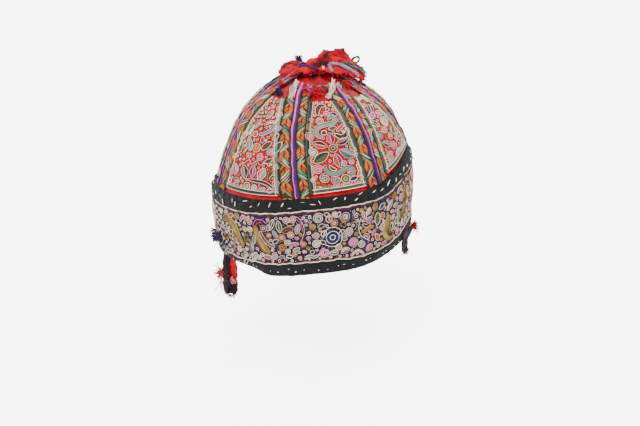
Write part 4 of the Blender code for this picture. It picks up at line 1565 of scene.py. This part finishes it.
for number in range(len(SEAMS)):
    heights, rise = seam_rise(number)
    for hand, after in (("right", False), ("left", True)):
        name = f"braid_{number + 1}_{hand}"
        way = 1 if after else -1
        near = CORD_WIDTH / 2 + SIDE_GAP
        draw = np.random.default_rng(60 + 2 * number + after)
        reach = near + braid_width(number, after, heights[None, ::2]) * np.linspace(0, 1, 7)[:, None]
        if not after:
            reach = reach[::-1]
        chart = joined(way * reach, rise[None, ::2])
        face = beside_seam(number, way * reach, heights[None, ::2], PANEL_FACE - BRAID_SINK)
        ground = lay_grid(f"{name}_ground", face, chart, braid_ground)
        give_wall(ground, APPLIED_WALL - BRAID_SINK)
        dress(ground, "braid", name)

        starts, ends, widths, silks = [], [], [], []
        block = -draw.uniform(0, BRAID_REPEAT)
        flip = 1
        while block < rise[-1]:
            long = BRAID_REPEAT * draw.uniform(0.9, 1.1)
            warm = np.arange(block, block + long * BRAID_ORANGE_SHARE, BRAID_PITCH)
            for inner in (True, False):
                width = braid_width(number, after, np.interp(warm, rise, heights))
                share = (warm - block) / (long * BRAID_ORANGE_SHARE)
                swell = BRAID_HALF * (0.75 + 0.25 * np.sin(math.pi * share))
                edge = 0.5 - swell if inner else 0.5 + swell
                lean = WARM_LEAN * width
                starts.append(joined(near + width * 0.5, warm + lean / 2))
                ends.append(joined(near + width * edge, warm - lean / 2))
                widths += list(draw.uniform(*WARM_WIDTHS, len(warm)))
                silks += list(draw.choice(BRAID_WARM[0], len(warm), p=BRAID_WARM[1]))
            cool = np.arange(block + long * BRAID_ORANGE_SHARE, block + long, STRAND_PITCH)
            width = braid_width(number, after, np.interp(cool, rise, heights))
            lean = flip * width * draw.uniform(*STRAND_LEANS, len(cool))
            starts.append(joined(near + 0.04 * width, cool - lean / 2))
            ends.append(joined(near + 0.97 * width, cool + lean / 2))
            widths += list(draw.uniform(*STRAND_WIDTHS, len(cool)))
            silks += list(draw.choice(BRAID_COOL[0], len(cool), p=BRAID_COOL[1]))
            block += long
            flip = -flip
        starts, ends, widths = np.concatenate(starts), np.concatenate(ends), np.array(widths)
        kept = (starts[:, 1] > -1) & (starts[:, 1] < rise[-1] + 1)
        starts, ends, widths = starts[kept], ends[kept], widths[kept]
        silks = [silk for silk, keep in zip(silks, kept) if keep]
        places = []
        for end in (starts, ends):
            height = np.interp(np.clip(end[:, 1], 0, rise[-1]), rise, heights)
            lift = BRAID_FACE + draw.uniform(-0.05, 0.25, len(end))
            places.append(beside_seam(number, way * end[:, 0], height, lift))
        dress(lay_stitches(f"{name}_stitches", *places, widths, silks, seed=80 + number), "braid")
        edges = []
        for share, radius in ((0.0, 0.4), (1.0, 0.45)):
            far = near + braid_width(number, after, heights) * share
            edges.append(Cord(beside_seam(number, way * far, heights, BRAID_FACE - 0.1), "black", radius))
        dress(lay_cords(f"{name}_edges", edges, seed=90 + number), "braid")

# The seam cords. A purple chenille cord and a pink one lie side by side over each seam and hide it. The
# purple one is thick at the band and gives way to the pink one at the top. A short pile stands out of both.
CORD_WANDER = 0.35
PURPLE_RADIUS = (1.25, 0.7)
PINK_RADIUS = (0.6, 1.1)
SEAM_CORD_SHIFT = 0.85
PILE_PER_MM = 6
PILE_LENGTH = 1.7
PILE_WIDTH = 0.42
PILE_SHARES = (0.62, 0.2, 0.1, 0.08)
PURPLE_SIDE = (-1, 1, -1, -1, -1, 1, -1)
PILE_SILKS = {
    "purple": ("purple", "navy", "night", "lavender"),
    "bright": ("bright", "pink", "blush", "lavender"),
}

for number in range(len(SEAMS)):
    heights, rise = seam_rise(number)
    draw = np.random.default_rng(100 + number)
    along = np.linspace(0, rise[-1], int(rise[-1] / 0.8))
    level = np.interp(along, rise, heights)
    cords, starts, ends, silks = [], [], [], []
    for silk, ends_radius, side in (("purple", PURPLE_RADIUS, 1), ("bright", PINK_RADIUS, -1)):
        radius = np.interp(along, (0, rise[-1]), ends_radius) * (1 + 0.12 * np.sin(along / 1.9))
        wander = CORD_WANDER * np.sin(along / 7 + draw.uniform(0, math.tau)) * np.sin(along / 3.1)
        reach = PURPLE_SIDE[number] * side * SEAM_CORD_SHIFT + wander
        proud = GAP + radius + 0.1 * np.sin(along / 4)
        cords.append(Cord(beside_seam(number, reach, level, proud), silk, radius))
        count = int(rise[-1] * PILE_PER_MM)
        place = draw.uniform(0, rise[-1], count)
        height = np.interp(place, rise, heights)
        middle = np.interp(place, along, reach)
        size = np.interp(place, along, radius)
        turn = draw.uniform(0.1, math.pi - 0.1, count)
        length = draw.uniform(0.7, 1.2, count) * PILE_LENGTH / 2
        top = np.clip(height + draw.normal(0, 0.4, count), TRIM_FOOT, GORE_HEAD)
        starts.append(beside_seam(number, middle, height, GAP + size))
        far = middle + np.cos(turn) * (size + length * 0.4)
        ends.append(beside_seam(number, far, top, GAP + size * 1.1 + np.sin(turn) * (size + length * 0.25)))
        silks += list(draw.choice(PILE_SILKS[silk], count, p=PILE_SHARES))
    yarns = lay_cords(f"seam_cord_{number + 1}_yarns", cords, sides=8, seed=number)
    dress(yarns, "seam_cord", f"seam_cord_{number + 1}")
    pile = lay_stitches(
        f"seam_cord_{number + 1}_pile",
        np.concatenate(starts),
        np.concatenate(ends),
        PILE_WIDTH,
        silks,
        segments=4,
        rings=2,
        seed=120 + number,
    )
    dress(pile, "seam_cord")

# The upper binding. The seam of band and crown is covered by a strip of the same black cotton, rolled over
# a core and sewn with the same white thread in longer stitches.
BINDING_ROLL = 1.0
UPPER_TURNED_UNDER = 1.6
SEAM_STITCHES = 62

upper_heights = np.linspace(UPPER_BINDING_FOOT, UPPER_BINDING_HEAD, 12)
upper_share = (upper_heights - UPPER_BINDING_FOOT) / (UPPER_BINDING_HEAD - UPPER_BINDING_FOOT)
upper_binding = ring_cloth(
    "upper_binding_cloth",
    upper_heights,
    GAP + BINDING_ROLL * np.sin(math.pi * upper_share),
    binding_cotton,
    swell=0.7,
    swell_size=4.5,
    seed=15,
)
finish_cloth(
    upper_binding,
    BINDING_WALL,
    "binding",
    "upper_binding",
    outward=True,
    turned_under=UPPER_TURNED_UNDER,
)
seam_proud = GAP + BINDING_WALL + BINDING_ROLL + 0.45
sew_binding("seam_stitches", SEAM_STITCHES, 71.8, 2.4, (2.4, 5.4), seam_proud, 16)

# The gathered top. A band of the red cotton is drawn in with a thread to a narrow neck, and its raw upper
# edge stands and falls round it as a torn ruffle, deep at the wearer's left and hollow in the middle.
RUFFLE_WALL = 1.3
PLEAT_COUNT = 10
GATHER_SHIFT = 1.0
GATHER_COLUMNS = 270
GATHER_ROWS = 46
RUFFLE_ARCH = 0.18
TUCK_DEPTH = 5.0
SIDE_FOLD = 0.7
KNOT_RADIUS = 9.0
KNOT_HEIGHT = 150.4
RUFFLE_RED = dye(220, 10, 34)
RUFFLE_CRIMSON = dye(178, 6, 46)
# The darkest red serves both for soiled patches and for painted shade in the ruffle's hollows and the neck.
RUFFLE_DIRT_AND_SHADE = dye(66, 6, 22)
# Where the cloth is darkened: angle round, its spread, level and its spread. The spot in the front hollow and
# the ring all round inside the ruffle are painted shade.
RUFFLE_SHADES = [
    (-8.0, 26.0, 0.7, 0.45),
    (130.0, 16.0, 1.5, 0.22),
    (-110.0, 24.0, 1.75, 0.2),
    (20.0, 400.0, 1.12, 0.16),
]
# Radius, height and pleat depth, from the gores' edge in to the neck.
PLEATS = [
    (0.0, 23.3, 146.2, 0.0),
    (1.0, 18.0, 148.0, 0.7),
    (2.0, 12.5, 149.4, 0.9),
    (3.0, 8.6, 150.2, 0.6),
    (4.0, 7.0, 151.6, 0.5),
]
# Angle round from the front, reach from the neck's axis and height of the ruffle's raw edge.
FLAPS = [
    (-180.0, 19.0, 152.5),
    (-150.0, 17.0, 153.0),
    (-128.0, 20.0, 154.5),
    (-92.0, 28.5, 150.5),
    (-48.0, 22.0, 151.5),
    (-10.0, 11.0, 153.0),
    (28.0, 21.0, 152.0),
    (72.0, 39.0, 148.0),
    (95.0, 31.0, 156.0),
    (116.0, 27.0, 162.5),
    (142.0, 20.5, 163.0),
    (160.0, 21.0, 156.0),
    (180.0, 19.0, 152.5),
]


def on_gather(angle, level):
    """A point of the gathered cloth. Level is 0 at the gores, 1 at the neck and 2 at the raw edge."""
    pleat = read_table(PLEATS, np.clip(level, 0, 1) * 4)
    neck = read_table(PLEATS, np.full(np.shape(level), 4.0))
    flap = read_table(FLAPS, np.degrees(angle))
    share = np.clip(level - 1, 0, None)
    fall = flap[..., 1] - neck[..., 1]
    radius = np.where(level <= 1, pleat[..., 1], neck[..., 1] + fall * share)
    wave = np.cos(PLEAT_COUNT * angle)
    pleated = pleat[..., 2] + pleat[..., 3] * wave
    arch = RUFFLE_ARCH * fall * np.sin(math.pi * np.clip(share, 0, 1))
    fold = share * 1.1 * (np.sin(5 * angle + 5) + np.sin(11 * angle + 11))
    stem = neck[..., 2] + neck[..., 3] * wave * (1 - share)
    height = np.where(level <= 1, pleated, stem + (flap[..., 2] - neck[..., 2]) * share + arch + fold)
    x = GATHER_SHIFT + radius * np.sin(angle)
    return joined(x, -radius * np.cos(angle), height - SEAT_HEIGHT) * MM


def on_top(angle, level, lift):
    """A place over the gathered cloth, or where level is below 0 so many centimetres down the crown."""
    turn = math.radians(angle)
    if level < 0:
        return on_hat(turn, GORE_HEAD + 10 * level, CROWN_LIFT + lift)
    return on_gather(turn, level) + np.array([0.3 * math.sin(turn), -0.3 * math.cos(turn), 1.0]) * lift * MM


def strew(place, lean, count, length, spread, silks, radius, seed):
    """Short loose threads that spring from about one place and curl over."""
    draw = np.random.default_rng(seed)
    share = np.linspace(0, 1, 4)[:, None]
    threads = []
    for _ in range(count):
        start = place + draw.normal(0, spread, 3) * MM
        way = lean + draw.normal(0, 0.5, 3)
        way /= np.linalg.norm(way)
        side = np.cross(way, draw.normal(size=3))
        reach = length * draw.uniform(0.4, 1.2) * MM
        points = start + reach * (way * share + 0.5 * side * share**2)
        threads.append(Cord(points, draw.choice(silks), radius * draw.uniform(0.7, 1.3)))
    return threads


def trail(places, strands, spread, silks, radius, seed):
    """Strands that run loosely together through the same places."""
    draw = np.random.default_rng(seed)
    threads = []
    for _ in range(strands):
        knots = np.array(places) + draw.normal(0, spread, (len(places), 3)) * MM
        run = smooth_run(knots, CORD_STEP * MM)
        threads.append(Cord(run, draw.choice(silks), radius * draw.uniform(0.8, 1.2)))
    return threads


ruffle_cotton = cloth_material(
    "ruffle_cotton", None, 2.4, roughness=0.8, relief=0.8, patches=0.6, grain=0.5, Sheen_Weight=0.05
)
gather_draw = np.random.default_rng(200)
gather_angle = np.linspace(-math.pi, math.pi, GATHER_COLUMNS + 1)[:, None]
gather_share = np.concatenate([np.zeros(4), np.linspace(0, 1, GATHER_ROWS)])[None]
torn = 0.06 * crumple(on_gather(gather_angle, np.full_like(gather_angle, 2.0))[:, 0], 3.0, 210)[:, None]
gather_level = gather_share * (1.97 + torn)
gather_points = on_gather(gather_angle, gather_level)
tucked = np.array([1.0, 0.75, 0.5, 0.25])
under_gores = on_hat(gather_angle, GORE_HEAD - TUCK_DEPTH * tucked[None], -CROWN_WALL - 0.2)
gather_points[:, :4] += (under_gores - gather_points[:, :4]) * tucked[None, :, None] ** 0.5
gather_loose = np.clip(gather_level - 0.15, 0, 1)
creases = 0.6 - np.abs(crumple(gather_points, 5.0, 205))
gather_points[..., 2] += MM * gather_loose * (
    0.8 * crumple(gather_points, 7.0, 201) + 0.5 * crumple(gather_points, 2.6, 202) + 0.7 * creases
)
for axis, seed in ((0, 203), (1, 204)):
    gather_points[..., axis] += MM * gather_loose * SIDE_FOLD * crumple(gather_points, 4.0, seed)
tuck_run = np.concatenate([-TUCK_DEPTH * tucked, np.zeros(GATHER_ROWS)])[None]
gather_chart = joined(gather_angle * 23.0, gather_level * 27.0 + tuck_run)
ruffle = lay_grid("gathered_top_cloth", gather_points, gather_chart, ruffle_cotton, closed=True)
# Faded and soiled patches vary the red at random, and the table's spots darken it further, partly as painted
# shade.
faded = np.clip(0.5 + 0.8 * crumple(gather_points, 9.0, 206), 0, 1)[:-1, :, None]
dirt_and_shade = np.clip(0.9 * crumple(gather_points, 4.5, 207) - 0.3, 0, 1)[:-1, :, None]
for angle, width, level, reach in RUFFLE_SHADES:
    turned = (np.degrees(gather_angle) - angle) / width
    shade = 0.95 * np.exp(-(turned**2) - ((gather_level - level) / reach) ** 2)
    dirt_and_shade = np.maximum(dirt_and_shade, shade[:-1, :, None])
gather_dye_and_shade = np.array(RUFFLE_RED) * (1 - faded) + np.array(RUFFLE_CRIMSON) * faded
gather_dye_and_shade += (np.array(RUFFLE_DIRT_AND_SHADE) - gather_dye_and_shade) * dirt_and_shade
store(ruffle.data, "thread", "FLOAT_COLOR", gather_dye_and_shade.reshape(-1, 4))
give_wall(ruffle, RUFFLE_WALL)
dress(ruffle, "gore_cloth", "top_gather")

# The cloth that is bunched in the neck closes it.
knot_turn = np.linspace(-math.pi, math.pi, 49)[:, None]
knot_radius = np.linspace(KNOT_RADIUS, 0.0, 14)[None]
knot_x = GATHER_SHIFT + knot_radius * np.sin(knot_turn)
knot_folds = 0.9 * np.cos(PLEAT_COUNT * knot_turn) + 0.6 * np.cos(17 * knot_turn)
knot_folds = (knot_radius / KNOT_RADIUS) * knot_folds
knot_level = KNOT_HEIGHT - SEAT_HEIGHT + 1.2 * (1 - knot_radius / KNOT_RADIUS) + knot_folds
knot_points = joined(knot_x, -knot_radius * np.cos(knot_turn), knot_level) * MM
knot_chart = joined(knot_turn * 9.0, knot_radius)
knot = lay_grid("gathered_top_knot", knot_points, knot_chart, ruffle_cotton, closed=True)
# The bunched cloth is the darkest red all over: painted shade deep in the neck.
store(knot.data, "thread", "FLOAT_COLOR", np.tile(RUFFLE_DIRT_AND_SHADE, (len(knot.data.vertices), 1)))
form = bmesh.new()
form.from_mesh(knot.data)
bmesh.ops.remove_doubles(form, verts=form.verts, dist=0.01 * MM)
form.to_mesh(knot.data)
form.free()
give_wall(knot, 1.0)
dress(knot, "gore_cloth")

# The top's threads and scraps. The raw edge of the gathered cloth frays all round, and ends of the cords and
# braids under it stand out between its folds: purple pile, pale strips of silk and a dark loop.
CROWN_LIFT = 1.4
RIM_FRAYS = 420
RIM_FRAY_LENGTH = 2.6
RIM_SILKS = ("red", "crimson", "pink")

# Places are given by the angle round, the level on the gathered cloth and the lift over it.
Trail = namedtuple("Trail", "places strands spread silks radius")
Tuft = namedtuple("Tuft", "angle level lift count length spread silks radius", defaults=(0.18,))
TRAILS = [
    Trail(
        [(-141, 1.75, 2), (-139, 1.3, 2.5), (-80, 1.25, 3.5), (-30, 1.4, 3), (5, 1.75, 2)],
        4,
        0.45,
        ("purple",),
        0.4,
    ),
    Trail(
        [(84, 1.8, 0), (86, 1.95, 5), (90, 1.98, 6), (94, 1.95, 3), (90, 1.8, 0)],
        5,
        0.35,
        ("black", "grey"),
        0.4,
    ),
    Trail(
        [(62, 0.1, 2.5), (60, -0.2, 1.6), (57, -0.8, 1.2), (58, -1.7, 0.8)],
        5,
        0.5,
        ("pink", "bright"),
        0.4,
    ),
    Trail([(50, 1.2, 4), (56, 1.6, 3), (60, 1.95, 2)], 16, 1.0, ("pale", "lavender"), 0.34),
    Trail([(70, 1.5, 3.5), (74, 1.95, 2.2), (76, -0.5, 1.2)], 16, 0.9, ("pale", "grey", "lavender"), 0.3),
    Trail([(-88, 0.5, 2.5), (-87, -0.5, 1.5), (-86, -1.0, 1.2)], 14, 1.0, ("lavender", "pale", "grey"), 0.32),
    Trail([(-67, 0.3, 2.5), (-67, -0.25, 1.6)], 10, 1.0, ("lavender", "blush"), 0.32),
    Trail(
        [(-44, -0.02, 1.6), (-42, -0.4, 1.2), (-40, -0.85, 0.9)],
        26,
        1.2,
        ("cream", "white", "cream"),
        0.36,
    ),
    Trail([(20, -0.02, 1.6), (12, -0.35, 1.2), (3, -0.75, 0.9)], 26, 1.2, ("cream", "white", "blush"), 0.36),
    Trail([(48, -0.05, 1.8), (56, -0.4, 1.4), (64, -1.0, 1.0)], 7, 0.5, ("purple", "lavender"), 0.36),
    Trail([(38, 1.3, 3.5), (30, 1.9, 2.0)], 12, 0.9, ("lavender", "orange", "pale"), 0.32),
    Trail([(24, 1.2, 3.5), (14, 1.9, 2.2), (12, 0.6, 3.0)], 7, 0.6, ("cream", "pink", "white"), 0.3),
    Trail([(-60, 1.95, 1.8), (-62, 1.1, 3), (-63, 0.4, 2.5)], 9, 0.6, ("grey", "pale"), 0.3),
]
TUFTS = [
    Tuft(-143, 1.78, 2.5, 110, 3.6, 1.1, ("purple", "purple", "navy"), 0.32),
    Tuft(-60, -0.62, 1.2, 90, 3.0, 0.9, ("navy", "navy", "purple"), 0.3),
    Tuft(-24, -0.25, 1.0, 90, 4.5, 1.6, ("red", "crimson", "bright")),
    Tuft(-14, -0.45, 1.0, 110, 4.5, 1.8, ("red", "red", "crimson")),
    Tuft(-5, -0.2, 1.0, 90, 4.5, 1.6, ("red", "crimson", "pink")),
    Tuft(40, -0.2, 1.0, 70, 4.5, 1.5, ("red", "crimson")),
    Tuft(-68, -0.2, 1.0, 60, 4.0, 1.5, ("red", "crimson")),
    Tuft(-6, 0.9, 1.0, 60, 3.5, 1.5, ("maroon", "night", "wine")),
    Tuft(66, 0.2, 2.0, 50, 5.0, 1.0, ("pale", "lavender", "pink")),
]

rim = on_gather(gather_angle, 1.97 + torn)[:-1, 0]
scraps = []
for count, index in enumerate(gather_draw.integers(0, len(rim), RIM_FRAYS)):
    turn = gather_angle[index, 0]
    lean = np.array([math.sin(turn), -math.cos(turn), gather_draw.uniform(-0.5, 0.6)])
    scraps += strew(rim[index], lean, 1, RIM_FRAY_LENGTH, 0.25, RIM_SILKS, 0.13, 1000 + count)
for number, laid in enumerate(TRAILS):
    knots = [on_top(*place) for place in laid.places]
    scraps += trail(knots, *laid[1:], 2000 + number)
for number, tuft in enumerate(TUFTS):
    turn = math.radians(tuft.angle)
    place = on_top(tuft.angle, tuft.level, tuft.lift)
    lean = np.array([0.8 * math.sin(turn), -0.8 * math.cos(turn), 0.5 if tuft.level > 0 else -0.2])
    scraps += strew(place, lean, *tuft[3:], 3000 + number)
top_threads = lay_cords("gathered_top_threads", scraps, sides=4, seed=17)
dress(top_threads, "gore_cloth")

# The torn corner of the band. At the wearer's right the satin and its embroidery have torn at the lower edge.
# Navy pile, violet strands of the weave and a few white threads hang out of it.
TORN_PROUD = 0.8
Tear = namedtuple("Tear", "angle height count length spread silks radius")
TEARS = [
    Tear(-94.0, 33.0, 90, 3.6, 1.3, ("navy", "night", "purple"), 0.3),
    Tear(-91.0, 30.0, 70, 3.2, 1.6, ("purple", "lavender", "pink"), 0.22),
    Tear(-84.0, 35.0, 70, 4.0, 1.8, ("purple", "navy", "night"), 0.26),
    Tear(-78.0, 38.0, 80, 4.0, 2.2, ("navy", "night", "purple"), 0.26),
    Tear(-73.0, 33.0, 60, 3.6, 1.8, ("night", "navy", "grey"), 0.24),
    Tear(-70.0, 31.0, 16, 5.0, 1.2, ("white", "lavender"), 0.26),
    Tear(-52.0, 31.0, 16, 4.6, 1.2, ("white", "pale"), 0.24),
    Tear(-46.0, 33.0, 12, 4.0, 1.0, ("white", "lavender"), 0.24),
]
torn_threads = []
for number, tear in enumerate(TEARS):
    turn = math.radians(tear.angle)
    lean = np.array([0.5 * math.sin(turn), -0.5 * math.cos(turn), -0.7])
    place = on_hat(turn, tear.height, TORN_PROUD)
    torn_threads += strew(place, lean, *tear[2:], 5000 + number)
dress(lay_cords("band_torn_threads", torn_threads, sides=4, seed=19), "panel_embroidery")

# The ties. Two short ends of dark brown strap hang from the hem. The wearer's right one is rolled along one
# side and shows its red facing on the other, and both have lost their lower ends to wear.
TIE_WALL = 1.4
TIE_OVERLAP = 6.0
TIE_CURL = 1.2
TIE_SEAT_GAP = 0.7
TIE_TURN_START = 2.0
TIE_TURN_REACH = 12.0
TIE_ROLL = 2.3
TIE_BROWN = dye(46, 30, 32)
TIE_WORN_BROWN = dye(66, 44, 44)
DOWN = np.array([0.1, -0.1, -1.0])

Tie = namedtuple("Tie", "name angle facing width length inside red_from red_drops")
# The red part is given by the share of the width where it begins and by its upper and lower drop.
TIES = [
    Tie("tie_right", -84.0, -22.0, 11.0, 46.0, True, 0.5, (-6.0, -29.0)),
    Tie("tie_left", 51.0, 51.0, 9.0, 16.0, False, 2.0, (0.0, 0.0)),
]


def on_tie(tie, across, drop, proud=0.0):
    """A point of a tie. Across runs from 0 to 1 to the wearer's left, and drop is below 0 under the hem."""
    angle, facing = math.radians(tie.angle), math.radians(tie.facing)
    turn = angle + (facing - angle) * np.clip((-drop - TIE_TURN_START) / TIE_TURN_REACH, 0, 1)
    seat = -(BAND_WALL + GAP + BINDING_WALL + TIE_SEAT_GAP)
    if not tie.inside:
        seat = GAP + BINDING_WALL + TIE_SEAT_GAP + TIE_WALL
    curl = TIE_CURL * np.sin(math.pi * np.clip(across, 0, 1)) * (TIE_OVERLAP - drop) / tie.length
    reach, back = tie.width * (across - 0.5), proud - curl
    x = reach * np.cos(turn) + back * np.sin(turn)
    y = reach * np.sin(turn) - back * np.cos(turn)
    return on_hat(angle, BAND_FOOT, seat) + joined(x, y, drop) * MM


strap_cotton = cloth_material(
    "strap_cotton", None, 2.2, roughness=0.85, relief=0.8, patches=0.6, grain=0.5, Sheen_Weight=0.15
)
for order, tie in enumerate(TIES):
    across = np.linspace(0, 1, 21)[:, None]
    drop = np.linspace(TIE_OVERLAP - tie.length, TIE_OVERLAP, 44)[None] + 0 * across
    worn_end = 1 - 0.12 * (2 * across - 1) ** 2 + 0.03 * np.sin(9 * across + order)
    drop = np.where(drop < 0, drop * worn_end, drop)
    points = on_tie(tie, across, drop)
    loose = np.clip((TIE_OVERLAP - drop) / 12, 0, 1)
    points += (0.6 * MM * loose * crumple(points, 5.0, 230))[..., None] * np.array([0.3, -1.0, 0.0])
    chart = joined(tie.width * across, drop)
    strap = lay_grid(f"{tie.name}_strap", points, chart, strap_cotton)
    ragged = 0.04 * np.sin(0.9 * drop) + across
    red = (ragged > tie.red_from) & (drop < tie.red_drops[0]) & (drop > tie.red_drops[1])
    faded = np.clip(0.5 + 0.5 * crumple(points, 4.0, 231), 0, 1)[..., None]
    warm = np.array(SILKS["red"]) * faded + np.array(SILKS["crimson"]) * (1 - faded)
    plain = np.array(TIE_BROWN) * faded + np.array(TIE_WORN_BROWN) * (1 - faded)
    colours = np.where(red[..., None], warm, plain)
    store(strap.data, "thread", "FLOAT_COLOR", colours.reshape(-1, 4))
    give_wall(strap, TIE_WALL)
    dress(strap, "tie", tie.name)

    ends = []
    for share in np.linspace(0.04, 0.96, 24):
        drop_end = (TIE_OVERLAP - tie.length) * (1 - 0.12 * (2 * share - 1) ** 2)
        place = on_tie(tie, np.array(share), np.array(drop_end + 0.6), 0.6)
        ends += strew(place, DOWN, 3, 3.0, 0.3, ("maroon", "brown", "black"), 0.15, 4000 + len(ends))
    if tie.inside:
        level = np.linspace(-1.0, TIE_OVERLAP - tie.length + 1.5, 40)
        thick = TIE_ROLL * np.clip((level - level[-1] + 1.5) / 6, 0.35, 1) * (1 + 0.08 * np.sin(level))
        ends.append(Cord(on_tie(tie, np.array(0.17), level, 1.0), "umber", thick))
        ends.append(Cord(on_tie(tie, np.array(0.42), level[4:-6], 1.0), "black", 0.8))
        side = on_tie(tie, np.array(-0.12), np.array(-19.0), 0.5)
        lean = np.array([-0.3, -0.2, -0.9])
        ends += strew(side, lean, 110, 5.0, 1.3, ("pink", "crimson", "coral"), 0.26, 4500)
        low = on_tie(tie, np.array(-0.2), np.array(-28.0), 0.5)
        ends += strew(low, DOWN, 14, 7.0, 0.8, ("pink", "maroon"), 0.2, 4600)
        spot = on_tie(tie, np.array(0.68), np.array(-25.0), 1.0)
        ends += strew(spot, np.array([0.1, -0.3, -1.0]), 26, 4.0, 0.8, ("coral", "blush"), 0.3, 4700)
    else:
        turns = np.radians(np.linspace(66.0, tie.angle, 24))
        rolled = on_hat(turns, np.linspace(16.0, 15.0, 24), GAP + BINDING_WALL + 0.9)
        ends.append(Cord(rolled, "umber", 1.5))
        tuft = on_hat(math.radians(67.0), 16.5, GAP + BINDING_WALL + 1.2)
        ends += strew(tuft, np.array([0.9, -0.3, 0.1]), 90, 4.5, 0.9, ("red", "crimson"), 0.2, 4800)
        tip = on_hat(math.radians(70.0), 15.5, GAP + BINDING_WALL + 1.2)
        ends += strew(tip, np.array([0.9, -0.2, -0.3]), 30, 2.6, 0.5, ("black", "maroon"), 0.2, 4900)
    threads = lay_cords(f"{tie.name}_threads", ends, sides=7, seed=18 + order)
    dress(threads, "tie")

# The sizes of the imported solids and of the dressed hat, side by side.
visual_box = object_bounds()
boxes = {"cad": cad_box, "visual": visual_box}
{name: [list(corner) for corner in box] for name, box in boxes.items()}
